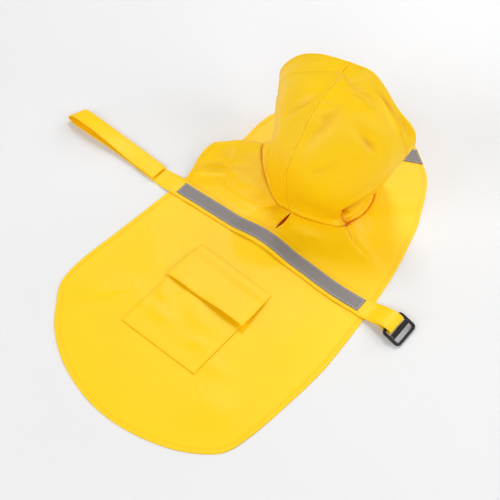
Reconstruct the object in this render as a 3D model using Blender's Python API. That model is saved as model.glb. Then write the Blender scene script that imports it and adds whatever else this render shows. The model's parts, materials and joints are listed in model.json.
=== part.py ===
"""A dog raincoat laid out on a table, as solids: every cut piece is a closed wall of cloth.

Axes of the garment: +X towards the buckle, +Y along the back towards the head, +Z up.
Tables and lengths are in millimetres on the coat's own lines: x = 0 on the spine, y = 0 just
behind the back strap, z = 0 on the table. The finished meshes are in metres, and the whole
coat is moved so that the middle of its box stands on the origin.
"""

import math
from collections import namedtuple

import bmesh
import bpy
from mathutils import Matrix, Vector
from mathutils.bvhtree import BVHTree

MM = 0.001

# ---------------------------------------------------------------- driving dimensions (mm)
CLOTH = 1.5                 # coated cloth with its turned seams
GAP = 0.3                   # between pieces that are sewn or laid together
SEAM_SLACK = 0.15           # more where a flat facet meets a curved one
LAID_SLACK = 0.05           # more where a piece lies on another or meets its mirror image
NECK_CENTRE = (2.0, 150.0)  # middle of the neck hole
SEAM_DEG = -2.6             # the hood's centre seam meets the neckline here
FACE_DEG_RIGHT = 165.0      # front ends of the hood on the neckline
FACE_DEG_LEFT = -160.0
HOOD_HEM = 0.8              # extra thickness of the hem turned round the face opening
HOOD_HEM_DEG = 142.0        # that hem starts here, counted as the neckline's angle
HOOD_HEM_STEP = 0.4         # half of the step up to it, in the same degrees

SECTION_COUNT = 85          # sections of the coat from one front edge to the other
RING_COUNT = 11             # rings from the neckline to the hem
RING_POWER = 1.35           # above 1 sets the rings closer together at the neckline
HOOD_LEVELS = 13            # levels of the hood from the neckline to its centre seam
COLUMN_CLEAR = 1.0          # degrees that the hood's columns keep from its two ends
HEM_CLEAR = 1.5             # and from the hem's step
SLOPE_POWER = 1.3           # how a fold's slope runs out
SHARP_DEG = 40.0            # edges that are sharper stay sharp in the shading
ABOVE_ALL = 500.0           # a height over every piece

FLAP_LIFT = 4.2             # the right front lies this high over the left one
FLAP_LIFT_FROM = 148.0      # neckline angles over which it climbs there
FLAP_LIFT_TO = 163.0
FASTENER = 0.9              # one half of the hook-and-loop tape

SLIT_LENGTH = 35.0          # leash slit behind the nape
SLIT_WIDTH = 3.9
SLIT_MIDDLE = (3.4, 59.4)
SLIT_STEPS = 4              # from each long edge's middle to its end
CUTTER_LOW, CUTTER_HIGH = -5.0, 35.0

STRAP = 1.6                 # strap cloth, folded and topstitched
STRAP_HALF_AT_TAIL = 13.2
STRAP_HALF = 14.5
STRAP_HALF_AT_BUCKLE = 14.0
TAIL_NARROWS = (-160.0, -190.0)        # where the width changes towards the tail
BUCKLE_NARROWS = (180.0, 196.0)        # and towards the buckle
TAIL_FOLD_SLANT = 3.0       # the fold's near end lies this much further out, its far end less
TAIL_SLANTS = (-290.0, -340.0)         # where that slant grows
STRAP_ON_COAT = (-150.5, 160.0, 9.0)   # from, to, and the distance between stations
STRAP_TOP_ENDS = (-157.0, 165.0)       # the stretch whose top carries the tape
STRAP_BRIDGES = (4.5, 5.0)  # the strap spans dips of the coat that are narrower, in x and y
STEEPEST = 0.5              # least upward share of a normal that the strap's height allows for
LOOP_FROM_DEG = 112.0       # the sewn loop round the buckle's bar, counted from +X
LOOP_TO_DEG = -112.0
LOOP_STEPS = 8
TAPE = 0.8                  # reflective tape
TAPE_HALF = 9.8
TAPE_ENDS = (-140.5, 159.0)
TAPE_END_CLEAR = 2.0        # no station of the tape is closer to its ends
CHEST_TAPE_CELLS = (16, 4)  # along and across

POCKET_ORIGIN = (2.0, -36.0)   # middle of the flap's sewn edge
POCKET_TURN = math.radians(-2.8)
BAG_TURN = math.radians(-0.6)
POCKET_HALF = 60.0
POCKET_MOUTH = 27.0            # down from the flap's sewn edge
POCKET_BOTTOM = 148.5
POCKET_CLOTH = 1.2
BAG_CELLS = (10, 8)            # down and across
FLAP_DEPTH_LEFT, FLAP_DEPTH_RIGHT = 65.0, 61.0
FLAP_SPARE = 0.5               # the flap is this much wider than the bag on each side
FLAP_FLARE = 6.0               # and its right edge runs out by this much to the corner
FLAP_CELLS = (8, 12)
FLAP_LOOSE = (8.0, 24.0)       # from its sewn edge, where it climbs from the coat to the bag
FLAP_CLIMB = 0.1               # spare height of that climb
FLAP_LIFT_POWER = 1.6          # how late the flap's lower edge stands off

CHEST_PATCH = ((-9.0, 232.0), (13.0, 280.0))    # hook and loop tape: two opposite corners
TAIL_PATCH = ((-226.0, -12.0), (-186.0, 12.0))  # the same, with y counted from the strap's line
PATCH_CELLS = 4

BUCKLE_AXIS = (203.4, 18.9, 10.4)   # the bar that the strap is sewn round
BUCKLE_TILT = math.radians(20.0)    # its outer bar rests on the table
BUCKLE_LENGTH = 28.5                # across its three bars
BUCKLE_WIDTH = 40.0
BUCKLE_BAR = 4.0
BUCKLE_THICK = 3.2
BUCKLE_CORNER = 4.0                 # radius of the frame's centre line
CORNER_STEPS = 4
BUCKLE_MIDDLE_BAR = (9.7, 16.3)     # from the axis to its two edges
MIDDLE_BAR_THICK = 2.7
MIDDLE_BAR_INSET = 1.2              # its ends stay inside the frame's two sides
FRAME_ROUND, MIDDLE_ROUND = 1.05, 0.8   # how far the bars' corners are rounded off
ROUND_SHARE = 0.3                   # where the facet of such a corner has its middle
LOOP_CLEARANCE = 0.65               # between the bar and the strap above and below it
LOOP_REACH = 7.9                    # the strap's loop hangs this far out beyond the bar

# The neckline: angle from the nape round the neck's middle, and radius.
NeckRow = namedtuple("NeckRow", "deg radius")
NECKLINE = [
    NeckRow(-180, 68.0), NeckRow(-140, 67.5), NeckRow(-119, 68.5), NeckRow(-97, 70.0),
    NeckRow(-85, 74.5), NeckRow(-75, 79.0), NeckRow(-62, 84.0), NeckRow(-54, 84.0),
    NeckRow(-42, 80.5), NeckRow(-32, 76.0), NeckRow(-15, 71.8), NeckRow(-3, 71.0),
    NeckRow(12, 71.2), NeckRow(25, 71.0), NeckRow(35, 72.8), NeckRow(43, 75.6),
    NeckRow(50, 79.8), NeckRow(57, 83.0), NeckRow(63, 80.2), NeckRow(71, 75.8),
    NeckRow(86, 73.6), NeckRow(100, 72.6), NeckRow(116, 69.2), NeckRow(130, 67.2),
    NeckRow(150, 67.0), NeckRow(180, 68.0),
]

# Sections of the coat: each runs from the neckline at an angle to a point of the hem.
# They start at the left front edge, pass the left side, the tail and the right side, and
# end at the right front edge, which lies over the left one.
SectionRow = namedtuple("SectionRow", "neck_deg hem_x hem_y")
COAT_SECTIONS = [
    SectionRow(-190, 32, 293), SectionRow(-178, -2, 295), SectionRow(-163, -40, 287),
    SectionRow(-148, -74, 274), SectionRow(-134, -103, 254), SectionRow(-121, -123, 229),
    SectionRow(-109, -132, 204), SectionRow(-97, -135, 182), SectionRow(-86, -134, 156),
    SectionRow(-77, -133, 136), SectionRow(-71, -137, 120), SectionRow(-66, -142, 108),
    SectionRow(-61, -146, 93), SectionRow(-56, -149, 79), SectionRow(-49, -149, 60),
    SectionRow(-40, -148, 36), SectionRow(-33, -152, -10), SectionRow(-27, -158, -90),
    SectionRow(-22, -163, -150), SectionRow(-18, -158, -190), SectionRow(-15, -140, -217),
    SectionRow(-12, -117, -243), SectionRow(-8, -84, -266), SectionRow(-4, -48, -281),
    SectionRow(0, -9, -290), SectionRow(4, 30, -291), SectionRow(8, 68, -285),
    SectionRow(12, 105, -273), SectionRow(15, 135, -256), SectionRow(18, 154, -237),
    SectionRow(21, 163, -207), SectionRow(25, 170, -158), SectionRow(30, 176, -85),
    SectionRow(36, 173, -10), SectionRow(43, 168, 42), SectionRow(52, 161, 92),
    SectionRow(62, 152, 133), SectionRow(73, 143, 168), SectionRow(86, 132, 195),
    SectionRow(100, 124, 214), SectionRow(114, 115, 233), SectionRow(128, 104, 249),
    SectionRow(141, 88, 264), SectionRow(153, 67, 280), SectionRow(165, 40, 290),
    SectionRow(178, 8, 294), SectionRow(190, -22, 292),
]

# Folds that lift the cloth off the table. A crest is a row of points with its height there
# and how far the cloth slopes down behind it (towards the tail) and in front of it. A fold's
# round says how blunt its crest is.
Crest = namedtuple("Crest", "x y height behind front")
Fold = namedtuple("Fold", "round crests")
FOLDS = {
    "left_shoulder": Fold(7, [
        Crest(-64, 112, 62, 48, 34), Crest(-89, 111, 50, 48, 34), Crest(-111, 110, 38, 48, 30),
        Crest(-131, 99, 30, 46, 25), Crest(-150, 87, 24, 44, 22)]),
    "spine": Fold(18, [Crest(0, 100, 7, 32, 32), Crest(2, 22, 8, 30, 30)]),
    "right_nape": Fold(9, [
        Crest(14, 90, 3, 26, 30), Crest(40, 97, 7, 30, 30), Crest(68, 110, 6, 26, 30)]),
    "right_neck_crease": Fold(7, [Crest(70, 110, 4, 12, 14), Crest(96, 92, 2, 12, 14)]),
    "shoulder_wave_high": Fold(7, [Crest(-78, 92, 3.0, 11, 11), Crest(-147, 70, 2.5, 11, 11)]),
    "shoulder_wave_low": Fold(7, [Crest(-55, 62, 3.0, 13, 13), Crest(-140, 50, 2.0, 12, 12)]),
    "right_front_swell": Fold(9, [Crest(74, 166, 4, 20, 20), Crest(118, 205, 2, 20, 20)]),
}

# Ribs of the hood. Each starts on the neckline and rises through five points to the centre
# seam. The first pair is the upright part of the seam itself, the last is the face edge.
Rib = namedtuple("Rib", "deg low side high crown peak seam")
HOOD_RIGHT = [
    Rib(SEAM_DEG, (-5, 80, 30), (-6, 78, 52), (-6, 77, 72), (-6, 78, 90), (-5, 81, 102),
        (-5, 84, 111)),
    Rib(30, (31, 87, 28), (33, 84, 54), (32, 85, 80), (26, 89, 101), (12, 94, 116),
        (-5, 98, 127)),
    Rib(60, (60, 105, 15), (69, 106, 40), (69, 111, 82), (56, 114, 119), (30, 116, 141),
        (-4, 116, 151)),
    Rib(93, (63, 148, 13), (82, 147, 44), (95, 145, 92), (82, 142, 136), (44, 139, 161),
        (-3, 137, 168)),
    Rib(123, (61, 180, 14), (82, 171, 52), (100, 166, 102), (91, 164, 147), (54, 161, 175),
        (-2, 158, 177)),
    Rib(FACE_DEG_RIGHT, (64, 204, 26), (94, 187, 86), (108, 184, 142), (76, 185, 169),
        (39, 186, 201), (1, 190, 194)),
]
HOOD_LEFT = [
    Rib(SEAM_DEG, (-5, 80, 30), (-6, 78, 52), (-6, 77, 72), (-6, 78, 90), (-5, 81, 102),
        (-5, 84, 111)),
    Rib(-28, (-36, 86, 36), (-38, 86, 58), (-37, 88, 80), (-31, 92, 102), (-19, 96, 117),
        (-5, 98, 127)),
    Rib(-60, (-63, 115, 68), (-59, 116, 82), (-57, 118, 100), (-47, 118, 121), (-28, 118, 140),
        (-4, 116, 151)),
    Rib(-86, (-74, 146, 34), (-78, 145, 68), (-78, 144, 102), (-65, 143, 134), (-38, 140, 157),
        (-3, 137, 168)),
    Rib(-120, (-77, 176, 32), (-91, 171, 70), (-92, 170, 110), (-75, 168, 145), (-42, 164, 168),
        (-2, 158, 177)),
    Rib(FACE_DEG_LEFT, (-74, 206, 30), (-99, 191, 78), (-100, 184, 124), (-78, 187, 159),
        (-45, 188, 182), (1, 190, 194)),
]

# The back strap seen from above: how its middle line wanders from side to side.
LineRow = namedtuple("LineRow", "x y")
STRAP_LINE = [LineRow(-350, 26.5), LineRow(-300, 25.6), LineRow(-255, 24.8), LineRow(-184, 20.2),
              LineRow(-146, 20.0), LineRow(-80, 21.6), LineRow(-10, 22.8), LineRow(42, 22.4),
              LineRow(72, 20.8), LineRow(98, 18.9), LineRow(126, 17.9), LineRow(158, 19.4),
              LineRow(185, 19.9), LineRow(208, 19.0)]

# The same strap from the side, as the height of the middle of its cloth at its near edge
# (towards the coat's tail) and at its far edge. It starts at the free end, runs out to the
# fold, which stands open at the near edge, and comes back along the table.
TailRow = namedtuple("TailRow", "x near far")
TAIL_SIDE = [TailRow(-181, 5.1, 5.1), TailRow(-205, 5.1, 5.1), TailRow(-229, 5.2, 5.1),
             TailRow(-254, 8.2, 5.3), TailRow(-281, 14.0, 6.6), TailRow(-305, 18.0, 8.6),
             TailRow(-324, 18.2, 9.4), TailRow(-336, 15.4, 9.2), TailRow(-343, 10.6, 7.0),
             TailRow(-344, 6.2, 4.4), TailRow(-340, 2.5, 2.0), TailRow(-330, 0.85, 0.8),
             TailRow(-295, 0.8, 0.8), TailRow(-250, 0.8, 0.8), TailRow(-205, 0.8, 0.8),
             TailRow(-172, 0.8, 0.8), TailRow(-163, 1.4, 1.4)]
# After the coat it climbs to the buckle's bar, turns round it and ends beneath itself.
RiseRow = namedtuple("RiseRow", "x z")
BUCKLE_RISE = [RiseRow(166, 2.8), RiseRow(174, 4.2), RiseRow(181, 7.0), RiseRow(188, 10.0),
               RiseRow(195, 12.6)]
LOOP_RETURN = [RiseRow(197, 7.9), RiseRow(191.5, 8.4), RiseRow(185.5, 6.6), RiseRow(179.5, 4.2)]

# How high the pocket flap's lower edge stands off the bag, across its width.
LiftRow = namedtuple("LiftRow", "across height")
FLAP_EDGE = [LiftRow(-60, 1.6), LiftRow(-36, 4.2), LiftRow(-12, 2.4), LiftRow(26, 6.8),
             LiftRow(60, 5.8)]

# The chest tape: its two long edges, each from the flap's end to the hem.
CHEST_TAPE_FAR = ((3.0, 241.0), (68.2, 278.3))
CHEST_TAPE_NEAR = ((12.0, 226.0), (88.9, 262.4))


# ---------------------------------------------------------------- curves and surfaces
def spline(knots, values, at):
    """Smooth curve through vectors given at rising knots, read at one place."""
    at = min(max(at, knots[0]), knots[-1])
    index = next(i for i in range(len(knots) - 1) if at <= knots[i + 1])
    span = knots[index + 1] - knots[index]

    def slope(i):
        before, after = max(i - 1, 0), min(i + 1, len(knots) - 1)
        return (values[after] - values[before]) / (knots[after] - knots[before])

    t = (at - knots[index]) / span
    start, end = values[index], values[index + 1]
    leave, arrive = slope(index) * span, slope(index + 1) * span
    return (start * (2 * t ** 3 - 3 * t ** 2 + 1) + leave * (t ** 3 - 2 * t ** 2 + t)
            + end * (3 * t ** 2 - 2 * t ** 3) + arrive * (t ** 3 - t ** 2))


def table_value(rows, at):
    """A table of two columns read as a smooth curve."""
    return spline([row[0] for row in rows], [row[1] for row in rows], at)


def path_through(rows, steps_between):
    """Points on a smooth path through a table's rows."""
    points = [Vector(row) for row in rows]
    knots = [0.0]
    for a, b in zip(points, points[1:]):
        knots.append(knots[-1] + math.sqrt((b - a).length))
    path = []
    for a, b in zip(knots, knots[1:]):
        path += [spline(knots, points, a + (b - a) * s / steps_between) for s in range(steps_between)]
    return path + [points[-1]]


def ease(value):
    """0 below 0, 1 above 1, smooth between."""
    value = min(max(value, 0.0), 1.0)
    return value * value * (3 - 2 * value)


def grid_normals(grid, sign):
    """Unit normals of a grid of points; sign chooses the side."""
    rows, columns = len(grid), len(grid[0])
    normals = []
    for i in range(rows):
        line = []
        for k in range(columns):
            along = grid[min(i + 1, rows - 1)][k] - grid[max(i - 1, 0)][k]
            across = grid[i][min(k + 1, columns - 1)] - grid[i][max(k - 1, 0)]
            line.append((along.cross(across) * sign).normalized())
        normals.append(line)
    return normals


def offset(grid, normals, distance):
    return [[p + n * distance for p, n in zip(line, side)] for line, side in zip(grid, normals)]


def material(name, colour, roughness):
    made = bpy.data.materials.new(name)
    made.use_nodes = True
    made.diffuse_color = (*colour, 1.0)
    shader = made.node_tree.nodes["Principled BSDF"]
    shader.inputs["Base Color"].default_value = (*colour, 1.0)
    shader.inputs["Roughness"].default_value = roughness
    return made


def add_object(name, mesh, finish):
    mesh.materials.append(finish)
    made = bpy.data.objects.new(name, mesh)
    bpy.context.scene.collection.objects.link(made)
    made.parent = bpy.data.objects["coat_lines"]
    return made


def wall(name, inner, outer, finish):
    """A closed wall between two grids of points with the same rows and columns."""
    rows, columns = len(inner), len(inner[0])
    points = [p * MM for line in inner for p in line] + [p * MM for line in outer for p in line]
    far = rows * columns

    def at(i, k):
        return i * columns + k

    faces = []
    for i in range(rows - 1):
        for k in range(columns - 1):
            quad = (at(i, k), at(i + 1, k), at(i + 1, k + 1), at(i, k + 1))
            faces.append(quad)
            faces.append(tuple(far + index for index in reversed(quad)))
    rim = [at(0, k) for k in range(columns)] + [at(i, columns - 1) for i in range(1, rows)]
    rim += [at(rows - 1, k) for k in range(columns - 2, -1, -1)]
    rim += [at(i, 0) for i in range(rows - 2, 0, -1)]
    for a, b in zip(rim, rim[1:] + rim[:1]):
        faces.append((a, b, far + b, far + a))
    mesh = bpy.data.meshes.new(name)
    mesh.from_pydata(points, [], faces)
    tidy = bmesh.new()
    tidy.from_mesh(mesh)
    bmesh.ops.recalc_face_normals(tidy, faces=tidy.faces)
    bmesh.ops.triangulate(tidy, faces=tidy.faces)
    tidy.to_mesh(mesh)
    tidy.free()
    mesh.shade_smooth()
    mesh.set_sharp_from_angle(angle=math.radians(SHARP_DEG))
    return add_object(name, mesh, finish)


class Ground:
    """The top of a piece, for what lies on it."""

    def __init__(self, grid):
        columns = len(grid[0])
        points = [p for line in grid for p in line]
        faces = []
        for i in range(len(grid) - 1):
            for k in range(columns - 1):
                a = i * columns + k
                faces += [(a, a + columns, a + columns + 1), (a, a + columns + 1, a + 1)]
        self.tree = BVHTree.FromPolygons(points, faces)

    def top(self, x, y):
        """Height of the piece at a place, and the way it faces there."""
        hit, normal, _, _ = self.tree.ray_cast(Vector((x, y, ABOVE_ALL)), Vector((0, 0, -1)))
        if hit is None:
            return None, Vector((0, 0, 1))
        return hit.z, normal if normal.z > 0 else -normal


# ---------------------------------------------------------------- the coat's form
def fold_height(x, y, fold):
    """Height that one fold gives the cloth at a place."""
    best = None
    place = Vector((x, y))
    for a, b in zip(fold.crests, fold.crests[1:]):
        start, run = Vector((a.x, a.y)), Vector((b.x - a.x, b.y - a.y))
        t = min(max((place - start).dot(run) / run.length_squared, 0.0), 1.0)
        away = place - (start + run * t)
        if best is None or away.length < best[0]:
            best = (away.length, t, a, b, away.y > 0)
    distance, t, a, b, in_front = best
    reach_a, reach_b = (a.front, b.front) if in_front else (a.behind, b.behind)
    reach = reach_a + (reach_b - reach_a) * t
    share = (math.hypot(distance, fold.round) - fold.round) / reach
    if share >= 1:
        return 0.0
    return (a.height + (b.height - a.height) * t) * (1 - share) ** SLOPE_POWER


def coat_height(x, y):
    """Height of the underside of the cloth over the table."""
    return sum(fold_height(x, y, fold) for fold in FOLDS.values())


def neck_point(deg):
    wrapped = (deg + 180.0) % 360.0 - 180.0
    radius = table_value(NECKLINE, wrapped)
    angle = math.radians(deg)
    return Vector((NECK_CENTRE[0] + radius * math.sin(angle),
                   NECK_CENTRE[1] - radius * math.cos(angle)))


def flap_lift(deg):
    return FLAP_LIFT * ease((deg - FLAP_LIFT_FROM) / (FLAP_LIFT_TO - FLAP_LIFT_FROM))


def coat_grid():
    """Underside of the coat: a row of points from neckline to hem for each section."""
    knots = list(range(len(COAT_SECTIONS)))
    table = [Vector(row) for row in COAT_SECTIONS]
    degs, grid = [], []
    for i in range(SECTION_COUNT):
        deg, hem_x, hem_y = spline(knots, table, i * knots[-1] / (SECTION_COUNT - 1))
        neck, hem = neck_point(deg), Vector((hem_x, hem_y))
        line = []
        for k in range(RING_COUNT + 1):
            share = (k / RING_COUNT) ** RING_POWER
            place = neck.lerp(hem, share)
            line.append(Vector((place.x, place.y, coat_height(place.x, place.y) + flap_lift(deg))))
        degs.append(deg)
        grid.append(line)
    return degs, grid


def make_coat(finish):
    degs, under = coat_grid()
    normals = grid_normals(under, -1)
    over = offset(under, normals, CLOTH)
    coat = wall("coat_body", under, over, finish)
    cut_leash_slit(coat)
    rim = [(deg, line[0], side[0]) for deg, line, side in zip(degs, over, normals)]
    return Ground(over), rim


def cut_leash_slit(coat):
    """A pointed slit for the leash, cut right through behind the nape."""
    half = SLIT_LENGTH / 2
    bend = (half ** 2 + (SLIT_WIDTH / 2) ** 2) / SLIT_WIDTH    # radius of each long edge
    sweep = math.asin(half / bend)
    outline = []
    for side in (1, -1):
        for step in range(2 * SLIT_STEPS):
            angle = sweep * (1 - step / SLIT_STEPS)
            outline.append((side * (bend * math.cos(angle) - bend + SLIT_WIDTH / 2),
                            side * bend * math.sin(angle)))
    tool = bmesh.new()
    x, y = SLIT_MIDDLE
    low = [tool.verts.new(Vector((x + u, y + v, CUTTER_LOW)) * MM) for u, v in outline]
    face = tool.faces.new(low)
    raised = bmesh.ops.extrude_face_region(tool, geom=[face])
    top = [item for item in raised["geom"] if isinstance(item, bmesh.types.BMVert)]
    bmesh.ops.translate(tool, vec=Vector((0, 0, CUTTER_HIGH - CUTTER_LOW)) * MM, verts=top)
    bmesh.ops.recalc_face_normals(tool, faces=tool.faces)
    mesh = bpy.data.meshes.new("leash_slit_cutter")
    tool.to_mesh(mesh)
    tool.free()
    cutter = bpy.data.objects.new("leash_slit_cutter", mesh)
    bpy.context.scene.collection.objects.link(cutter)
    cutter.parent = bpy.data.objects["coat_lines"]
    cutter.hide_render = True
    cutter.display_type = "WIRE"
    cut = coat.modifiers.new("leash_slit", "BOOLEAN")
    cut.operation = "DIFFERENCE"
    cut.solver = "EXACT"
    cut.object = cutter


# ---------------------------------------------------------------- the hood
def rim_point(rim, deg):
    """A place just over the coat's neck edge, where the hood is sewn on, and the way the coat
    faces there."""
    for (deg_a, point_a, normal_a), (deg_b, point_b, normal_b) in zip(rim, rim[1:]):
        if deg_a <= deg <= deg_b:
            t = (deg - deg_a) / (deg_b - deg_a)
            up = normal_a.lerp(normal_b, t).normalized()
            return point_a.lerp(point_b, t) + up * (GAP + SEAM_SLACK), up
    raise ValueError("no neckline at %s degrees" % deg)


def hood_columns(rim, end):
    """Angles of the hood's columns: the coat's own sections, the two ends and the hem's step."""
    low, high = min(SEAM_DEG, end), max(SEAM_DEG, end)
    hem = math.copysign(HOOD_HEM_DEG, end)
    inside = [deg for deg, _, _ in rim
              if low + COLUMN_CLEAR < deg < high - COLUMN_CLEAR and abs(deg - hem) > HEM_CLEAR]
    return sorted(inside + [low, high, hem - HOOD_HEM_STEP, hem + HOOD_HEM_STEP], key=abs)


def hood_grid(ribs, rim):
    """Inside of one half of the hood, and the angle of each of its columns."""
    ordered = sorted(ribs, key=lambda rib: rib.deg)
    knots = [rib.deg for rib in ordered]
    fields = range(1, len(Rib._fields))
    levels = [i / len(fields) for i in range(len(fields) + 1)]
    columns = hood_columns(rim, ribs[-1].deg)
    columns.remove(SEAM_DEG)
    columns = [SEAM_DEG] + columns
    grid = []
    for deg in columns:
        points = [rim_point(rim, deg)[0]]
        for field in fields:
            points.append(spline(knots, [Vector(rib[field]) for rib in ordered], deg))
        grid.append([spline(levels, points, k / HOOD_LEVELS) for k in range(HOOD_LEVELS + 1)])
    return columns, grid


def make_hood_half(name, ribs, rim, finish):
    side = 1 if ribs[-1].deg > 0 else -1
    columns, inside = hood_grid(ribs, rim)
    normals = grid_normals(inside, side)
    nudge = Vector((side * (GAP / 2 + LAID_SLACK), 0, 0))
    for i, line in enumerate(inside):
        up = rim_point(rim, columns[i])[1]
        foot = normals[i][0] - up * normals[i][0].dot(up)
        normals[i][0] = foot.normalized()
        for k in range(len(line)):
            if i == 0 or k == HOOD_LEVELS:
                line[k] = line[k] + nudge
                flat = Vector((0, normals[i][k].y, normals[i][k].z))
                normals[i][k] = flat.normalized()
    thick = [CLOTH + (HOOD_HEM if abs(deg) > HOOD_HEM_DEG else 0.0) for deg in columns]
    outside = [[p + n * t for p, n in zip(line, normal_line)]
               for line, normal_line, t in zip(inside, normals, thick)]
    return wall(name, inside, outside, finish)


# ---------------------------------------------------------------- strap, tape and fasteners
def between(x, ends):
    """0 at the first end and before, 1 at the second and after, smooth between."""
    return ease((x - ends[0]) / (ends[1] - ends[0]))


def strap_half(x):
    """Half of the strap's width: it narrows to the tail and to the buckle's bar."""
    return (STRAP_HALF + (STRAP_HALF_AT_TAIL - STRAP_HALF) * between(x, TAIL_NARROWS)
            + (STRAP_HALF_AT_BUCKLE - STRAP_HALF) * between(x, BUCKLE_NARROWS))


def top_around(ground, x, y):
    """Highest point of a piece close to a place, and the way it faces at the place."""
    along, across = STRAP_BRIDGES
    found = [ground.top(x + dx, y + dy)[0]
             for dx in (-along, 0, along) for dy in (-across, 0, across)]
    return max(height for height in found if height is not None), ground.top(x, y)[1]


def strap_stations():
    """Middle of the strap's cloth from the free end of the tail to the end of the sewn loop:
    for each station x and the heights of its two edges, or None where the coat carries it."""
    lowest = STRAP / 2
    stations = [(p.x, max(p.y, lowest), max(p.z, lowest)) for p in path_through(TAIL_SIDE, 2)]
    first, last, step = STRAP_ON_COAT
    count = round((last - first) / step)
    stations += [(first + (last - first) * i / count, None, None) for i in range(count + 1)]
    stations += [(p.x, p.y, p.y) for p in path_through(BUCKLE_RISE, 2)]
    radius = BUCKLE_BAR / 2 + LOOP_CLEARANCE + STRAP / 2
    axis_x, _, axis_z = BUCKLE_AXIS
    for step in range(LOOP_STEPS + 1):
        angle = math.radians(LOOP_FROM_DEG + (LOOP_TO_DEG - LOOP_FROM_DEG) * step / LOOP_STEPS)
        height = axis_z + radius * math.sin(angle)
        stations.append((axis_x + LOOP_REACH * math.cos(angle), height, height))
    stations += [(p.x, p.y, p.y) for p in path_through(LOOP_RETURN, 2)]
    return stations


def make_strap(coat_top, finish):
    grid = []
    for x, near, far in strap_stations():
        middle, half = table_value(STRAP_LINE, x), strap_half(x)
        line = []
        for share in (-1.0, 0.0, 1.0):
            y = middle + share * half
            if near is None:
                top, normal = top_around(coat_top, x, y)
                height = top + (GAP + SEAM_SLACK + STRAP / 2) / max(normal.z, STEEPEST)
            else:
                height = near + (far - near) * (share + 1) / 2
            slant = share * TAIL_FOLD_SLANT * between(x, TAIL_SLANTS)
            line.append(Vector((x + slant, y, height)))
        grid.append(line)
    normals = grid_normals(grid, 1)
    lower = offset(grid, normals, -STRAP / 2)
    upper = offset(grid, normals, STRAP / 2)
    wall("back_strap", upper, lower, finish)
    first, last = STRAP_TOP_ENDS
    on_coat = [i for i, line in enumerate(grid) if first < line[0].x < last and normals[i][0].z > 0]
    return Ground([upper[i] for i in on_coat]), [grid[i][0].x for i in on_coat]


def make_back_tape(strap_top, stations, finish):
    start, end = TAPE_ENDS
    inside = [x for x in stations if start + TAPE_END_CLEAR < x < end - TAPE_END_CLEAR]
    base = []
    for x in [start] + inside + [end]:
        line = []
        for share in (-1.0, 0.0, 1.0):
            y = table_value(STRAP_LINE, x) + share * TAPE_HALF
            height, _ = strap_top.top(x, y)
            line.append(Vector((x, y, height + GAP + LAID_SLACK)))
        base.append(line)
    top = [[p + Vector((0, 0, TAPE)) for p in line] for line in base]
    wall("tape_back", base, top, finish)


def laid_sheet(name, cells, place, height_at, thick, finish):
    """A sheet over a plan: place(u, v) gives the plan for u and v from 0 to 1, and
    height_at(u, v) the height of what it lies on there."""
    rows, columns = cells
    base = []
    for i in range(rows + 1):
        line = []
        for k in range(columns + 1):
            u, v = i / rows, k / columns
            line.append(Vector((*place(u, v), height_at(u, v) + GAP + LAID_SLACK)))
        base.append(line)
    top = [[p + Vector((0, 0, thick)) for p in line] for line in base]
    wall(name, base, top, finish)
    return Ground(top)


def make_chest_tape(coat_top, finish):
    far = [Vector(p) for p in CHEST_TAPE_FAR]
    near = [Vector(p) for p in CHEST_TAPE_NEAR]

    def place(u, v):
        return near[0].lerp(near[1], u).lerp(far[0].lerp(far[1], u), v)

    def coat_at(u, v):
        return coat_top.top(*place(u, v))[0]

    laid_sheet("tape_chest", CHEST_TAPE_CELLS, place, coat_at, TAPE, finish)


def pocket_place(across, down, turn):
    """Plan of a place on the pocket, from the middle of the flap's sewn edge."""
    return Vector(POCKET_ORIGIN) + Matrix.Rotation(turn, 2) @ Vector((across, -down))


def make_pocket(coat_top, finish):
    def bag_place(u, v):
        down = POCKET_MOUTH + (POCKET_BOTTOM - POCKET_MOUTH) * u
        return pocket_place(POCKET_HALF * (2 * v - 1), down, BAG_TURN)

    def coat_at(u, v):
        return coat_top.top(*bag_place(u, v))[0]

    bag_top = laid_sheet("pocket_bag", BAG_CELLS, bag_place, coat_at, POCKET_CLOTH, finish)

    def flap_down(u, v):
        return (FLAP_DEPTH_LEFT + (FLAP_DEPTH_RIGHT - FLAP_DEPTH_LEFT) * v) * u

    def flap_place(u, v):
        across = (POCKET_HALF + FLAP_SPARE) * (2 * v - 1) + FLAP_FLARE * u * v
        return pocket_place(across, flap_down(u, v), POCKET_TURN)

    def flap_seat(u, v):
        """The coat near the sewn edge, the bag further down, and the loose edge over it."""
        x, y = flap_place(u, v)
        seat = coat_top.top(x, y)[0]
        seat += (POCKET_CLOTH + GAP + FLAP_CLIMB) * between(flap_down(u, v), FLAP_LOOSE)
        edge = table_value(FLAP_EDGE, POCKET_HALF * (2 * v - 1)) * u ** FLAP_LIFT_POWER
        return max(seat, bag_top.top(x, y)[0] or 0.0) + edge

    laid_sheet("pocket_flap", FLAP_CELLS, flap_place, flap_seat, POCKET_CLOTH, finish)


def flat_patch(name, patch, z, finish, line=None):
    """A thin patch of fastener tape; line shifts it sideways with the strap."""
    low, high = patch
    base = []
    for i in range(PATCH_CELLS + 1):
        x = low[0] + (high[0] - low[0]) * i / PATCH_CELLS
        shift = table_value(line, x) if line else 0.0
        base.append([Vector((x, low[1] + shift, z)), Vector((x, high[1] + shift, z))])
    top = [[p + Vector((0, 0, FASTENER)) for p in row] for row in base]
    wall(name, base, top, finish)


def make_fasteners(hook, loop):
    """Hook and loop tape: between the two fronts, and between the tail's layers."""
    layer = FASTENER + GAP
    flat_patch("chest_loop_tape", CHEST_PATCH, CLOTH + GAP, loop)
    flat_patch("chest_hook_tape", CHEST_PATCH, CLOTH + GAP + layer, hook)
    flat_patch("tail_loop_tape", TAIL_PATCH, STRAP + GAP, loop, STRAP_LINE)
    flat_patch("tail_hook_tape", TAIL_PATCH, STRAP + GAP + layer, hook, STRAP_LINE)


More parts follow.
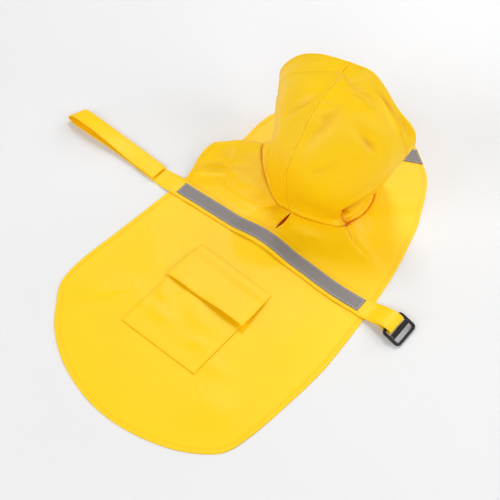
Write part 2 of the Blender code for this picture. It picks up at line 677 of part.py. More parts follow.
# ---------------------------------------------------------------- the slide buckle
def frame_path():
    """Centre line of the frame, a rounded rectangle with the strap's bar through (0, 0)."""
    reach, side = BUCKLE_LENGTH - BUCKLE_BAR, (BUCKLE_WIDTH - BUCKLE_BAR) / 2
    low, high, end = BUCKLE_CORNER, reach - BUCKLE_CORNER, side - BUCKLE_CORNER
    path = []
    for x, y, start in ((low, -end, 180), (high, -end, 270), (high, end, 0), (low, end, 90)):
        for step in range(CORNER_STEPS + 1):
            angle = math.radians(start + 90 * step / CORNER_STEPS)
            path.append((Vector((x + BUCKLE_CORNER * math.cos(angle),
                                 y + BUCKLE_CORNER * math.sin(angle), 0)), angle))
    return path


def bar_section(half_width, half_thick, round_off):
    """Outline of a moulded bar: a rectangle with its corners rounded off."""
    points = []
    little = ROUND_SHARE * round_off
    for sx, sy in ((1, 1), (-1, 1), (-1, -1), (1, -1)):
        corner = [(sx * half_width, sy * (half_thick - round_off)),
                  (sx * (half_width - little), sy * (half_thick - little)),
                  (sx * (half_width - round_off), sy * half_thick)]
        points += corner if sx * sy > 0 else corner[::-1]
    return points


def make_buckle(finish):
    """One moulding: an outer frame and a middle bar, tilted about the strap's bar."""
    section = bar_section(BUCKLE_BAR / 2, BUCKLE_THICK / 2, FRAME_ROUND)
    ring = bmesh.new()
    loops = []
    for centre, angle in frame_path():
        out = Vector((math.cos(angle), math.sin(angle), 0))
        loops.append([ring.verts.new((centre + out * u + Vector((0, 0, v))) * MM)
                      for u, v in section])
    for line, following in zip(loops, loops[1:] + loops[:1]):
        for j in range(len(section)):
            k = (j + 1) % len(section)
            ring.faces.new((line[j], following[j], following[k], line[k]))
    bmesh.ops.recalc_face_normals(ring, faces=ring.faces)
    mesh = bpy.data.meshes.new("buckle")
    ring.to_mesh(mesh)
    ring.free()
    buckle = add_object("buckle", mesh, finish)

    near, far = BUCKLE_MIDDLE_BAR
    bar = bmesh.new()
    middle, half = (near + far) / 2, (far - near) / 2
    outline = bar_section(half, MIDDLE_BAR_THICK / 2, MIDDLE_ROUND)
    end = BUCKLE_WIDTH / 2 - MIDDLE_BAR_INSET
    ends = []
    for y in (-end, end):
        ends.append([bar.verts.new(Vector((middle + u, y, v)) * MM) for u, v in outline])
    bar.faces.new(ends[0])
    bar.faces.new(ends[1])
    for j in range(len(ends[0])):
        k = (j + 1) % len(ends[0])
        bar.faces.new((ends[0][j], ends[0][k], ends[1][k], ends[1][j]))
    bmesh.ops.recalc_face_normals(bar, faces=bar.faces)
    bar_mesh = bpy.data.meshes.new("buckle_middle_bar")
    bar.to_mesh(bar_mesh)
    bar.free()
    tool = bpy.data.objects.new("buckle_middle_bar", bar_mesh)
    bpy.context.scene.collection.objects.link(tool)
    tool.parent = buckle
    tool.hide_render = True
    tool.display_type = "WIRE"
    joined = buckle.modifiers.new("middle_bar", "BOOLEAN")
    joined.operation = "UNION"
    joined.solver = "EXACT"
    joined.object = tool
    buckle.location = Vector(BUCKLE_AXIS) * MM
    buckle.rotation_euler = (0, BUCKLE_TILT, 0)
    mesh.shade_smooth()
    mesh.set_sharp_from_angle(angle=math.radians(SHARP_DEG))


# ---------------------------------------------------------------- the whole coat
def stand_on_origin(lines):
    """Move the coat's lines so that the middle of its box is over the origin."""
    bpy.context.view_layer.update()
    shown = [o for o in bpy.data.objects if o.type == "MESH" and not o.hide_render]
    points = [o.matrix_world @ v.co for o in shown for v in o.data.vertices]
    lines.location.x = -(min(p.x for p in points) + max(p.x for p in points)) / 2
    lines.location.y = -(min(p.y for p in points) + max(p.y for p in points)) / 2
    lines.location.z = -min(p.z for p in points)


def main():
    for old in list(bpy.data.objects):
        bpy.data.objects.remove(old, do_unlink=True)
    lines = bpy.data.objects.new("coat_lines", None)
    bpy.context.scene.collection.objects.link(lines)

    coated_cloth = material("coated_yellow_cloth", (0.90, 0.60, 0.02), 0.42)
    reflective = material("reflective_tape", (0.26, 0.24, 0.24), 0.55)
    nylon = material("moulded_black_plastic", (0.03, 0.03, 0.033), 0.38)
    hook = material("hook_tape", (0.80, 0.55, 0.04), 0.8)
    loop = material("loop_tape", (0.80, 0.55, 0.04), 0.95)

    coat_top, rim = make_coat(coated_cloth)
    make_hood_half("hood_right", HOOD_RIGHT, rim, coated_cloth)
    make_hood_half("hood_left", HOOD_LEFT, rim, coated_cloth)
    strap_top, stations = make_strap(coat_top, coated_cloth)
    make_back_tape(strap_top, stations, reflective)
    make_chest_tape(coat_top, reflective)
    make_pocket(coat_top, coated_cloth)
    make_fasteners(hook, loop)
    make_buckle(nylon)
    stand_on_origin(lines)


main()
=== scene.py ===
# %% [markdown]
# # A dog raincoat, laid out with its hood standing
# The coat is sewn from coated yellow cloth: one body panel with a neck hole, a hood in two
# halves, a back strap with a slide buckle, a patch pocket and two reflective tapes. The frame
# that is loaded here holds the plain solids of those pieces. Every cell below puts a finer
# piece in the place of one of them. The garment's sizes are those of its solids, and only what
# the solids leave out, such as creases, seams and stitches, has a size of its own here.

# %% The frame and the names used everywhere
import json
import math
from collections import namedtuple

import bmesh
import bpy
import numpy as np
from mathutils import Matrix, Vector
from mathutils.bvhtree import BVHTree


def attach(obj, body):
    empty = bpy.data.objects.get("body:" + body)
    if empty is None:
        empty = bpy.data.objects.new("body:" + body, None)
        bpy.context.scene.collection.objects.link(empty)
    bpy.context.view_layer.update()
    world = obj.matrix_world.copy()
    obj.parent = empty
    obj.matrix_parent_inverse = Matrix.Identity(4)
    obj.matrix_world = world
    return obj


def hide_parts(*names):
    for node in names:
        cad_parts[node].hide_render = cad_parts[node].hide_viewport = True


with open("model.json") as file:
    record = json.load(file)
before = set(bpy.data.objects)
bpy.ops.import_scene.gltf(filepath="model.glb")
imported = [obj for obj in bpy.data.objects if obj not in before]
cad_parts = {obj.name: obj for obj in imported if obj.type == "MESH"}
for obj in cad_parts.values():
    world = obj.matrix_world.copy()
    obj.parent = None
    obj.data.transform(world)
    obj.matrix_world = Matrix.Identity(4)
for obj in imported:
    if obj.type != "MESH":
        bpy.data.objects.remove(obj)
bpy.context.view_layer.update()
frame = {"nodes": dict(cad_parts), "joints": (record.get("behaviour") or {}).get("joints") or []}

MM = 0.001

# %% [markdown]
# ## The coat's own lines
# Tables of a garment are easiest to write on the garment itself: x runs across the back towards
# the buckle, y along the back towards the head, in millimetres, with x = 0 on the spine. The
# frame stands on the middle of the coat's box instead. The buckle's hinge is known in both, so
# the difference between its two places is the way from one to the other.

# %% From the coat's lines to the frame
BUCKLE_AXIS = (203.4, 18.9, 10.4)
hinge = next(joint for joint in frame["joints"] if joint["name"] == "buckle_turn")
COAT_TO_FRAME = np.array(hinge["pos_m"]) / MM - np.array(BUCKLE_AXIS)


def to_frame(points):
    """Points on the coat's lines in millimetres, as metres in the frame."""
    return (np.asarray(points, float) + COAT_TO_FRAME) * MM


print("the coat's lines start at", np.round(COAT_TO_FRAME, 2), "mm in the frame")

# %% [markdown]
# ## Camera
# The coat is seen from about 54 degrees above the table, from the buckle's side and from
# behind. A long lens from more than a metre away keeps the hood, which stands up towards the
# camera, from growing too large.

# %% Camera
VIEW_AZIMUTH, VIEW_ELEVATION = math.radians(39.2), math.radians(54.0)
VIEW_DISTANCE = 1350.0
VIEW_HALF_ANGLE = math.radians(13.5)
SENSOR = 36.0
LOOKS_AT = (-4.5, 0.0, 0.0)


def put(name, data):
    """A new object of the scene."""
    made = bpy.data.objects.new(name, data)
    bpy.context.scene.collection.objects.link(made)
    return made


away = Vector((math.sin(VIEW_AZIMUTH) * math.cos(VIEW_ELEVATION),
               -math.cos(VIEW_AZIMUTH) * math.cos(VIEW_ELEVATION), math.sin(VIEW_ELEVATION)))
camera = put("camera", bpy.data.cameras.new("camera"))
camera.location = Vector(to_frame(LOOKS_AT)) + away * VIEW_DISTANCE * MM
camera.rotation_euler = (-away).to_track_quat("-Z", "Y").to_euler()
camera.data.sensor_width = SENSOR
camera.data.lens = SENSOR / 2 / math.tan(VIEW_HALF_ANGLE)
bpy.context.scene.camera = camera
print("camera with a", round(camera.data.lens), "mm lens")

# %% [markdown]
# ## Materials from nodes
# Every finish below is a small node tree. One function adds any node: it takes the node's
# settings and, for each socket, a value or the output that feeds it. Colours are written as
# the hex codes that a screen shows, and turned to the linear light that shaders work in.


# %% Helpers for colours and nodes
def linear(code, alpha=1.0):
    """A screen colour such as "ffcc00" as linear red, green and blue, by the sRGB curve."""
    parts = [int(code[i:i + 2], 16) / 255 for i in (0, 2, 4)]
    return tuple(c / 12.92 if c <= 0.04045 else ((c + 0.055) / 1.055) ** 2.4
                 for c in parts) + (alpha,)


def feed(tree, node, sockets):
    """Give a node's inputs their values, or link them to the nodes or outputs that feed them."""
    for name, value in dict(sockets).items():
        socket = next(s for s in node.inputs if s.name == name and s.enabled)
        if isinstance(value, bpy.types.Node):
            value = next(s for s in value.outputs if s.enabled)
        if isinstance(value, bpy.types.NodeSocket):
            tree.links.new(value, socket)
        else:
            socket.default_value = value


def add(tree, kind, sockets=(), **settings):
    """One node with its settings, values and links."""
    made = tree.nodes.new(kind)
    for name, value in settings.items():
        setattr(made, name, value)
    feed(tree, made, sockets)
    return made


def start_material(name):
    """A named material with its tree, its Principled shader and the piece's own metres."""
    made = bpy.data.materials.new(name)
    made.use_nodes = True
    tree = made.node_tree
    place = add(tree, "ShaderNodeTexCoord")
    return made, tree, tree.nodes["Principled BSDF"], place.outputs["Object"]


def per_metre(millimetres):
    """A texture scale whose features are so many millimetres apart."""
    return 1.0 / (millimetres * MM)


# %% [markdown]
# ## Floor and light
# The coat lies on a plain pale table under soft studio light. Six soft boxes stand round it,
# 0.8 to 1.4 m wide, because glossy cloth shows every small lamp as a white streak. The smallest
# one stands high behind the hood: it draws the folds and drops the shadows towards the viewer.
# The others fill, and a faint sky fills the rest.

# %% Floor and light
FLOOR_HALF = 3.0
TABLE_WHITE, TABLE_WHITE_DEEP, TABLE_MOTTLE_MM = "e7e7ea", "e5e5e7", 180.0
LampRow = namedtuple("LampRow", "name place size power")       # in metres and watts
LAMPS = [
    LampRow("top_box", (-0.8, 1.2, 1.9), 0.8, 20.0),
    LampRow("back_box", (0.3, 1.8, 1.0), 1.4, 20.0),
    LampRow("left_box", (-1.9, 0.4, 0.9), 1.4, 5.0),
    LampRow("front_box", (-0.9, -1.6, 1.0), 1.4, 23.0),
    LampRow("side_box", (1.9, 0.3, 1.2), 1.4, 21.0),
    LampRow("near_box", (1.2, -1.5, 1.9), 1.4, 20.0),
]
LAMP_COLOUR, SKY_COLOUR, SKY_STRENGTH = "fffffd", "fafbff", 0.02


def make_floor():
    made, tree, shader, place = start_material("matt_white_table_lacquer")
    mottle = add(tree, "ShaderNodeTexNoise", {"Vector": place, "Scale": per_metre(TABLE_MOTTLE_MM)})
    shade = add(tree, "ShaderNodeMix", {"Factor": mottle, "A": linear(TABLE_WHITE),
                                        "B": linear(TABLE_WHITE_DEEP)}, data_type="RGBA")
    feed(tree, shader, {"Base Color": shade, "Roughness": 0.7})
    mesh = bpy.data.meshes.new("table")
    corners = [(-FLOOR_HALF, -FLOOR_HALF, 0), (FLOOR_HALF, -FLOOR_HALF, 0),
               (FLOOR_HALF, FLOOR_HALF, 0), (-FLOOR_HALF, FLOOR_HALF, 0)]
    mesh.from_pydata(corners, [], [(0, 1, 2, 3)])
    mesh.materials.append(made)
    floor = put("table", mesh)


def make_lamp(name, place, size, power):
    lamp = bpy.data.lights.new(name, "AREA")
    lamp.size, lamp.energy, lamp.color = size, power, linear(LAMP_COLOUR)[:3]
    holder = put(name, lamp)
    holder.location = place
    holder.rotation_euler = (-Vector(place)).to_track_quat("-Z", "Y").to_euler()


make_floor()
for lamp_row in LAMPS:
    make_lamp(*lamp_row)
sky = bpy.data.worlds.new("pale_studio")
sky.use_nodes = True
feed(sky.node_tree, sky.node_tree.nodes["Background"],
     {"Color": linear(SKY_COLOUR), "Strength": SKY_STRENGTH})
bpy.context.scene.world = sky
bpy.context.scene.view_settings.view_transform = "Standard"
print("table and", len(LAMPS), "soft boxes")

# %% [markdown]
# ## The driving sizes
# These are the garment's cut and the way it lies, in millimetres: the same values that the
# solids are built from, so each finer piece lies exactly where its solid is.

# %% Driving sizes
CLOTH = 1.5
GAP = 0.3
SEAM_SLACK = 0.15
NECK_CENTRE = (2.0, 150.0)
SEAM_DEG = -2.6
FACE_DEG_RIGHT, FACE_DEG_LEFT = 165.0, -160.0
HOOD_HEM = 0.8
FLAP_LIFT, FLAP_LIFT_DEGS = 4.2, (148.0, 163.0)     # of the right front, over the left one
SLIT_LENGTH, SLIT_WIDTH, SLIT_MIDDLE = 35.0, 3.9, (3.4, 59.4)
STRAP = 1.6
STRAP_HALF_AT_TAIL, STRAP_HALF, STRAP_HALF_AT_BUCKLE = 13.2, 14.5, 14.0
TAIL_NARROWS, BUCKLE_NARROWS = (-160.0, -190.0), (180.0, 196.0)
TAIL_FOLD_SLANT, TAIL_SLANTS = 3.0, (-290.0, -340.0)
STRAP_ON_COAT = (-150.5, 160.0)
LOOP_FROM_DEG, LOOP_TO_DEG = 112.0, -112.0
TAPE, TAPE_HALF, TAPE_ENDS = 0.8, 9.8, (-140.5, 159.0)
POCKET_ORIGIN, POCKET_TURN, BAG_TURN = (2.0, -36.0), math.radians(-2.8), math.radians(-0.6)
POCKET_HALF, POCKET_MOUTH, POCKET_BOTTOM, POCKET_CLOTH = 60.0, 27.0, 148.5, 1.2
FLAP_DEPTH_LEFT, FLAP_DEPTH_RIGHT, FLAP_SPARE, FLAP_FLARE = 65.0, 61.0, 0.5, 6.0
FLAP_LOOSE, FLAP_CLIMB, FLAP_LIFT_POWER = (8.0, 24.0), 0.1, 1.6
BUCKLE_TILT = math.radians(20.0)
BUCKLE_LENGTH, BUCKLE_WIDTH, BUCKLE_BAR, BUCKLE_THICK = 28.5, 40.0, 4.0, 3.2
BUCKLE_CORNER, BUCKLE_MIDDLE_BAR = 4.0, (9.7, 16.3)
LOOP_CLEARANCE, LOOP_REACH = 0.65, 7.9

# %% [markdown]
# ## Smooth curves through short tables
# A pattern cutter gives a curve by a few points and draws a smooth line through them. The
# spline below does that for whole arrays at once: each knot's slope comes from its two
# neighbours, and cubic pieces join them.


# %% Curves
def spline(knots, values, at):
    """Smooth curve through rows of values at rising knots, read at every place in at."""
    knots, values = np.asarray(knots, float), np.asarray(values, float)
    rows = values.reshape(len(knots), -1)
    slope = np.empty_like(rows)
    slope[1:-1] = (rows[2:] - rows[:-2]) / (knots[2:] - knots[:-2])[:, None]
    slope[0] = (rows[1] - rows[0]) / (knots[1] - knots[0])
    slope[-1] = (rows[-1] - rows[-2]) / (knots[-1] - knots[-2])
    at = np.clip(np.asarray(at, float), knots[0], knots[-1])
    i = np.clip(np.searchsorted(knots, at) - 1, 0, len(knots) - 2)
    span = (knots[i + 1] - knots[i])[:, None]
    t = (at - knots[i])[:, None] / span
    curve = (rows[i] * (2 * t ** 3 - 3 * t ** 2 + 1) + slope[i] * span * (t ** 3 - 2 * t ** 2 + t)
             + rows[i + 1] * (3 * t ** 2 - 2 * t ** 3) + slope[i + 1] * span * (t ** 3 - t ** 2))
    return curve.reshape(len(at), *values.shape[1:])


def table_value(rows, at):
    """A table of two columns read as a smooth curve."""
    return spline([row[0] for row in rows], [row[1] for row in rows], np.atleast_1d(at))


def run_along(points, power=1.0):
    """How far along its line each point lies. A power of a half sets a spline's knots well."""
    steps = np.linalg.norm(np.diff(points, axis=0), axis=1)
    return np.concatenate([[0.0], np.cumsum(steps ** power)])


def path_through(rows, steps_between):
    """Points on a smooth path through a table's rows."""
    points = np.array(rows, float)
    knots = run_along(points, 0.5)
    at = [a + (b - a) * s / steps_between for a, b in zip(knots, knots[1:])
          for s in range(steps_between)] + [knots[-1]]
    return spline(knots, points, at)


def ease(value):
    """0 below 0, 1 above 1, smooth between."""
    value = np.clip(value, 0.0, 1.0)
    return value * value * (3 - 2 * value)


def between(value, ends):
    """0 at the first end and before, 1 at the second and after, smooth between."""
    return ease((value - ends[0]) / (ends[1] - ends[0]))


# %% [markdown]
# ## Cloth as a shell
# A sheet of cloth is a grid of points, moved out along its normals by the cloth's thickness.
# The two grids and a rim between them close into one body. The rim is drawn in where the cloth
# is turned, because a hem is round and never a sharp step.


# %% Shells
SHARP_EDGE = math.radians(60)
ABOVE_ALL = 500.0           # a height over every piece, from which to look down
TINY = 1e-9                 # keeps a cell without area from dividing by 0


def grid_faces(shape):
    """The numbers of a grid's points, and its four-sided faces."""
    index = np.arange(shape[0] * shape[1]).reshape(shape[:2])
    quads = np.stack([index[:-1, :-1], index[1:, :-1], index[1:, 1:], index[:-1, 1:]], -1)
    return index, quads.reshape(-1, 4)


def normals_of(grid, sign):
    """Unit normals of a grid of points; sign chooses the side."""
    along = np.gradient(grid, axis=0)
    across = np.gradient(grid, axis=1)
    normals = np.cross(along, across) * sign
    return normals / np.maximum(np.linalg.norm(normals, axis=2, keepdims=True), TINY)


def rounded(distance, radius, least):
    """Share of the full thickness at a distance from a turned edge."""
    inside = np.clip(1 - distance / radius, 0, 1)
    return least + (1 - least) * np.sqrt(1 - inside ** 2)


def tidy_faces(mesh):
    """Turn every face outwards and shade the mesh smoothly, apart from its sharp edges."""
    tidy = bmesh.new()
    tidy.from_mesh(mesh)
    bmesh.ops.recalc_face_normals(tidy, faces=tidy.faces)
    tidy.to_mesh(mesh)
    tidy.free()
    mesh.shade_smooth()
    mesh.set_sharp_from_angle(angle=SHARP_EDGE)


def tidy_mesh(name, points, faces):
    """A tidy mesh of faces between points on the coat's lines."""
    mesh = bpy.data.meshes.new(name)
    mesh.from_pydata(to_frame(points).tolist(), [], faces)
    tidy_faces(mesh)
    return mesh


def add_piece(name, mesh, finish, body="coat"):
    mesh.materials.append(finish)
    made = put(name, mesh)
    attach(made, body)
    return made


def shell(name, inner, outer, finish, uv=None, painted_shade=None):
    """A closed wall between two grids of points, given on the coat's lines. The last argument gives
    each point a share of painted shade from 0 to 1: deep orange where seams and pleats lie in shade."""
    index, quads = grid_faces(inner.shape)
    count = index.size
    rim = np.concatenate([index[0, :-1], index[:-1, -1], index[-1, :0:-1], index[:0:-1, 0]])
    following = np.roll(rim, -1)
    sides = np.stack([rim, following, following + count, rim + count], -1)
    faces = np.concatenate([quads, quads[:, ::-1] + count, sides])
    points = to_frame(np.concatenate([inner.reshape(-1, 3), outer.reshape(-1, 3)]))
    mesh = bpy.data.meshes.new(name)
    mesh.from_pydata(points.tolist(), [], faces.tolist())
    if uv is not None:
        both = np.concatenate([uv.reshape(-1, 2)] * 2)
        layer = mesh.uv_layers.new(name="cloth")
        layer.data.foreach_set("uv", both[faces.reshape(-1)].astype(np.float32).reshape(-1))
    if painted_shade is not None:
        values = mesh.attributes.new(name=PAINTED_SHADE_NAME, type="FLOAT", domain="POINT")
        both = np.concatenate([painted_shade.reshape(-1)] * 2)
        values.data.foreach_set("value", both.astype(np.float32))
    tidy_faces(mesh)
    return add_piece(name, mesh, finish)


class Ground:
    """The top of a piece, for what lies on it."""

    def __init__(self, grid):
        faces = grid_faces(grid.shape)[1]
        self.tree = BVHTree.FromPolygons(grid.reshape(-1, 3).tolist(), faces.tolist())

    def top(self, x, y):
        """Height of the piece at a place, and the way it faces there."""
        hit, normal, _, _ = self.tree.ray_cast(Vector((x, y, ABOVE_ALL)), Vector((0, 0, -1)))
        if hit is None:
            return None, Vector((0, 0, 1))
        return hit.z, normal if normal.z > 0 else -normal

    def heights(self, plan):
        """Heights of the piece under a grid of places; 0 beside it."""
        found = [self.top(x, y)[0] or 0.0 for x, y in plan.reshape(-1, 2)]
        return np.array(found).reshape(plan.shape[:2])


# %% [markdown]
# ## Topstitching
# Topstitching runs at a fixed distance inside an edge, over every fold. So a seam line is read
# from the cloth's own grid: each row of points is walked from its edge until that distance is
# reached. The stitches are real threads in a shallow groove, one short arc for each, because a
# bump would vanish at a low angle and leave the bare mesh smooth. The thread is drawn 0.6 mm
# thick, about twice the real one, so that it shows from a step away.

# %% Seam lines and stitches
STITCH_PITCH, STITCH_LENGTH = 3.7, 2.8
THREAD_RADIUS, THREAD_SIDES = 0.3, 5
StitchRing = namedtuple("StitchRing", "along radius height")       # two shares, and mm
STITCH = [StitchRing(-0.5, 0.0, -0.25), StitchRing(-0.34, 0.8, 0.02), StitchRing(0.0, 1.0, 0.12),
          StitchRing(0.34, 0.8, 0.02), StitchRing(0.5, 0.0, -0.25)]
GROOVE_DEPTH, GROOVE_HALF = 0.3, 0.55
# Each edge of a grid by the axis that leaves it, and whether it is the last on that axis.
EDGES = {"start": (0, False), "end": (0, True), "near": (1, False), "far": (1, True)}


def groove(distance, at):
    """Depth of the groove that a seam at a distance from an edge pulls into the cloth."""
    return GROOVE_DEPTH * np.exp(-((distance - at) / GROOVE_HALF) ** 2)


def edge_run(grid, axis, far):
    """Distance of every point of a grid from one of its edges, measured over the cloth."""
    lines = np.moveaxis(grid, axis, 0)
    lines = lines[::-1] if far else lines
    steps = np.linalg.norm(np.diff(lines, axis=0), axis=2)
    run = np.concatenate([np.zeros((1, steps.shape[1])), np.cumsum(steps, axis=0)])
    return np.moveaxis(run[::-1] if far else run, 0, axis)


def seam_line(grid, normals, distance, edge, corners):
    """Points and normals at a distance inside one edge, left out close to both its corners."""
    axis, far = EDGES[edge]
    run = np.moveaxis(edge_run(grid, axis, far), axis, 0)
    both = np.moveaxis(np.concatenate([grid, normals], -1), axis, 0)
    order = slice(None, None, -1) if far else slice(None)
    at = np.broadcast_to(distance, run.shape[1])
    line = np.array([[np.interp(at[j], run[order, j], both[order, j, i]) for i in range(6)]
                     for j in range(run.shape[1])])
    along = run_along(line[:, :3])
    return line[(along >= corners) & (along <= along[-1] - corners)]


def plan_line(ground, places):
    """A seam line over a piece, through places seen from above."""
    places = np.array(places, float)
    run = run_along(places)
    at = np.linspace(0.0, run[-1], int(run[-1]) + 2)
    line = []
    for x, y in zip(np.interp(at, run, places[:, 0]), np.interp(at, run, places[:, 1])):
        height, normal = ground.top(x, y)
        line.append((x, y, height, *normal))
    return np.array(line)


def sew(name, lines, finish):
    """One mesh with a short arc of thread for each stitch along the lines."""
    turns = np.arange(THREAD_SIDES) * 2 * math.pi / THREAD_SIDES
    stitches = []
    for line in lines:
        run = run_along(line[:, :3])
        count = int(run[-1] // STITCH_PITCH)
        centres = (np.arange(count) + 0.5) * run[-1] / count
        read = [np.stack([np.interp(centres + ring.along * STITCH_LENGTH, run, line[:, i])
                          for i in range(6)], -1) for ring in STITCH]
        along = read[-1][:, :3] - read[0][:, :3]
        side = np.cross(along, read[2][:, 3:])
        side /= np.linalg.norm(side, axis=1, keepdims=True)
        up = np.cross(side, along)
        up /= np.linalg.norm(up, axis=1, keepdims=True)
        made = []
        for ring, here in zip(STITCH, read):
            middle, radius = here[:, :3] + up * ring.height, THREAD_RADIUS * ring.radius
            made += [middle + radius * (side * math.cos(turn) + up * math.sin(turn))
                     for turn in (turns if radius else turns[:1])]
        stitches.append(np.stack(made, 1))
    points = np.concatenate(stitches)
    sides, last = THREAD_SIDES, points.shape[1] - 1
    one = []
    for k in range(sides):
        n = (k + 1) % sides
        one += [(0, 1 + n, 1 + k), (last - sides + k, last - sides + n, last)]
        one += [(1 + r + k, 1 + r + n, 1 + r + sides + n, 1 + r + sides + k) for r in (0, sides)]
    faces = [tuple(corner + start for corner in face)
             for start in range(0, len(points) * (last + 1), last + 1) for face in one]
    made = add_piece(name, tidy_mesh(name, points.reshape(-1, 3), faces), finish)
    print(name + ":", len(points), "stitches")
    return made


# %% [markdown]
# ## Creases placed one by one
# Coated cloth is stiff: it folds in a few long, soft lines and not in many small ones. Each
# crease is a line of points on the coat with a depth at each point, negative for a trough and
# positive for a ridge, and one width. A cloth simulation would give other creases each time a
# size changes, so they are drawn in one by one, as a tailor would chalk them.

# %% Creases
Crease = namedtuple("Crease", "width points")


def crease_offset(points, creases):
    """How far the creases move each point along its normal."""
    total = np.zeros(len(points))
    for crease in creases:
        path = path_through(crease.points, 4)
        axes = path.shape[1] - 1
        nearest = np.full(len(points), np.inf)
        here = np.zeros(len(points))
        for a, b in zip(path, path[1:]):
            run = b[:axes] - a[:axes]
            t = np.clip((points[:, :axes] - a[:axes]) @ run / (run @ run), 0, 1)
            distance = np.linalg.norm(points[:, :axes] - a[:axes] - t[:, None] * run, axis=1)
            depth = a[axes] + (b[axes] - a[axes]) * t
            here = np.where(distance < nearest, depth * np.exp(-(distance / crease.width) ** 2), here)
            nearest = np.minimum(distance, nearest)
        total += here
    return total


# %% [markdown]
# ## Coated cloth
# Rain cloth is a woven polyester with a skin of polyurethane. The skin gives it a satin gloss
# that is smooth from afar and has a very fine leathery grain close up, and light that goes into
# the yellow comes out deeper and redder in the folds. A Principled shader with a mid roughness
# and two fine bumps does that: the grain of the skin, and the weave that shows through it. Each
# mesh also carries a value of its own that says how far a place lies inside a seam or a tight
# pleat. Light bounces there many times in a real coat, and the cloth looks deep orange, so that
# value mixes the yellow with orange: that deep orange is painted shade, not the cloth's colour.

# %% Material: polyurethane-coated polyester
# The orange below is painted shade: it is mixed into the yellow where seams and tight pleats lie in
# shade.
COATED_YELLOW, COATED_YELLOW_DEEP, PAINTED_SHADE_ORANGE = "ffd200", "ffcb00", "c8500a"
SKIN_GRAIN_MM, WEAVE_MM, TONE_MM = 0.9, 0.6, 60.0
PAINTED_SHADE_NAME = "painted_shade"           # name of the mesh's own value for how deep a place lies in a hollow


def make_coated_cloth(name, light, deep):
    made, tree, shader, place = start_material(name)
    tone = add(tree, "ShaderNodeTexNoise",
               {"Vector": place, "Scale": per_metre(TONE_MM), "Detail": 3.0})
    even = add(tree, "ShaderNodeMix", {"Factor": tone, "A": linear(light), "B": linear(deep)},
               data_type="RGBA")
    # Painted shade: the mesh's own value mixes orange into the colour where seams and pleats lie in
    # shade.
    painted_shade = add(tree, "ShaderNodeAttribute", attribute_name=PAINTED_SHADE_NAME)
    colour = add(tree, "ShaderNodeMix", {"Factor": painted_shade.outputs["Fac"], "A": even,
                                         "B": linear(PAINTED_SHADE_ORANGE)}, data_type="RGBA")
    grain = add(tree, "ShaderNodeTexNoise", {"Vector": place, "Scale": per_metre(SKIN_GRAIN_MM)})
    weave = add(tree, "ShaderNodeTexVoronoi", {"Vector": place, "Scale": per_metre(WEAVE_MM)})
    skin = add(tree, "ShaderNodeBump", {"Height": grain, "Strength": 0.10, "Distance": 0.1 * MM})
    both = add(tree, "ShaderNodeBump", {"Height": weave, "Strength": 0.06, "Distance": 0.1 * MM,
                                        "Normal": skin})
    feed(tree, shader, {"Base Color": colour, "Normal": both, "Roughness": 0.46, "IOR": 1.40})
    return made


coated_cloth = make_coated_cloth("polyurethane_coated_polyester", COATED_YELLOW, COATED_YELLOW_DEEP)
print("finish:", coated_cloth.name)

# %% [markdown]
# ## The body panel
# One panel reaches from the left front round the back to the right front, with the neck hole
# in it. Each section of the table below runs straight in plan from the neckline to the hem,
# and the folds lift it off the table: the left shoulder's fold stands highest, because the
# hood leans on it.

# %% Tables of the body
NeckRow = namedtuple("NeckRow", "deg radius")
NECKLINE = [
    NeckRow(-180, 68.0), NeckRow(-140, 67.5), NeckRow(-119, 68.5), NeckRow(-97, 70.0),
    NeckRow(-85, 74.5), NeckRow(-75, 79.0), NeckRow(-62, 84.0), NeckRow(-54, 84.0),
    NeckRow(-42, 80.5), NeckRow(-32, 76.0), NeckRow(-15, 71.8), NeckRow(-3, 71.0),
    NeckRow(12, 71.2), NeckRow(25, 71.0), NeckRow(35, 72.8), NeckRow(43, 75.6),
    NeckRow(50, 79.8), NeckRow(57, 83.0), NeckRow(63, 80.2), NeckRow(71, 75.8),
    NeckRow(86, 73.6), NeckRow(100, 72.6), NeckRow(116, 69.2), NeckRow(130, 67.2),
    NeckRow(150, 67.0), NeckRow(180, 68.0),
]
SectionRow = namedtuple("SectionRow", "neck_deg hem_x hem_y")
COAT_SECTIONS = [
    SectionRow(-190, 32, 293), SectionRow(-178, -2, 295), SectionRow(-163, -40, 287),
    SectionRow(-148, -74, 274), SectionRow(-134, -103, 254), SectionRow(-121, -123, 229),
    SectionRow(-109, -132, 204), SectionRow(-97, -135, 182), SectionRow(-86, -134, 156),
    SectionRow(-77, -133, 136), SectionRow(-71, -137, 120), SectionRow(-66, -142, 108),
    SectionRow(-61, -146, 93), SectionRow(-56, -149, 79), SectionRow(-49, -149, 60),
    SectionRow(-40, -148, 36), SectionRow(-33, -152, -10), SectionRow(-27, -158, -90),
    SectionRow(-22, -163, -150), SectionRow(-18, -158, -190), SectionRow(-15, -140, -217),
    SectionRow(-12, -117, -243), SectionRow(-8, -84, -266), SectionRow(-4, -48, -281),
    SectionRow(0, -9, -290), SectionRow(4, 30, -291), SectionRow(8, 68, -285),
    SectionRow(12, 105, -273), SectionRow(15, 135, -256), SectionRow(18, 154, -237),
    SectionRow(21, 163, -207), SectionRow(25, 170, -158), SectionRow(30, 176, -85),
    SectionRow(36, 173, -10), SectionRow(43, 168, 42), SectionRow(52, 161, 92),
    SectionRow(62, 152, 133), SectionRow(73, 143, 168), SectionRow(86, 132, 195),
    SectionRow(100, 124, 214), SectionRow(114, 115, 233), SectionRow(128, 104, 249),
    SectionRow(141, 88, 264), SectionRow(153, 67, 280), SectionRow(165, 40, 290),
    SectionRow(178, 8, 294), SectionRow(190, -22, 292),
]
Crest = namedtuple("Crest", "x y height behind front")
Fold = namedtuple("Fold", "round crests")
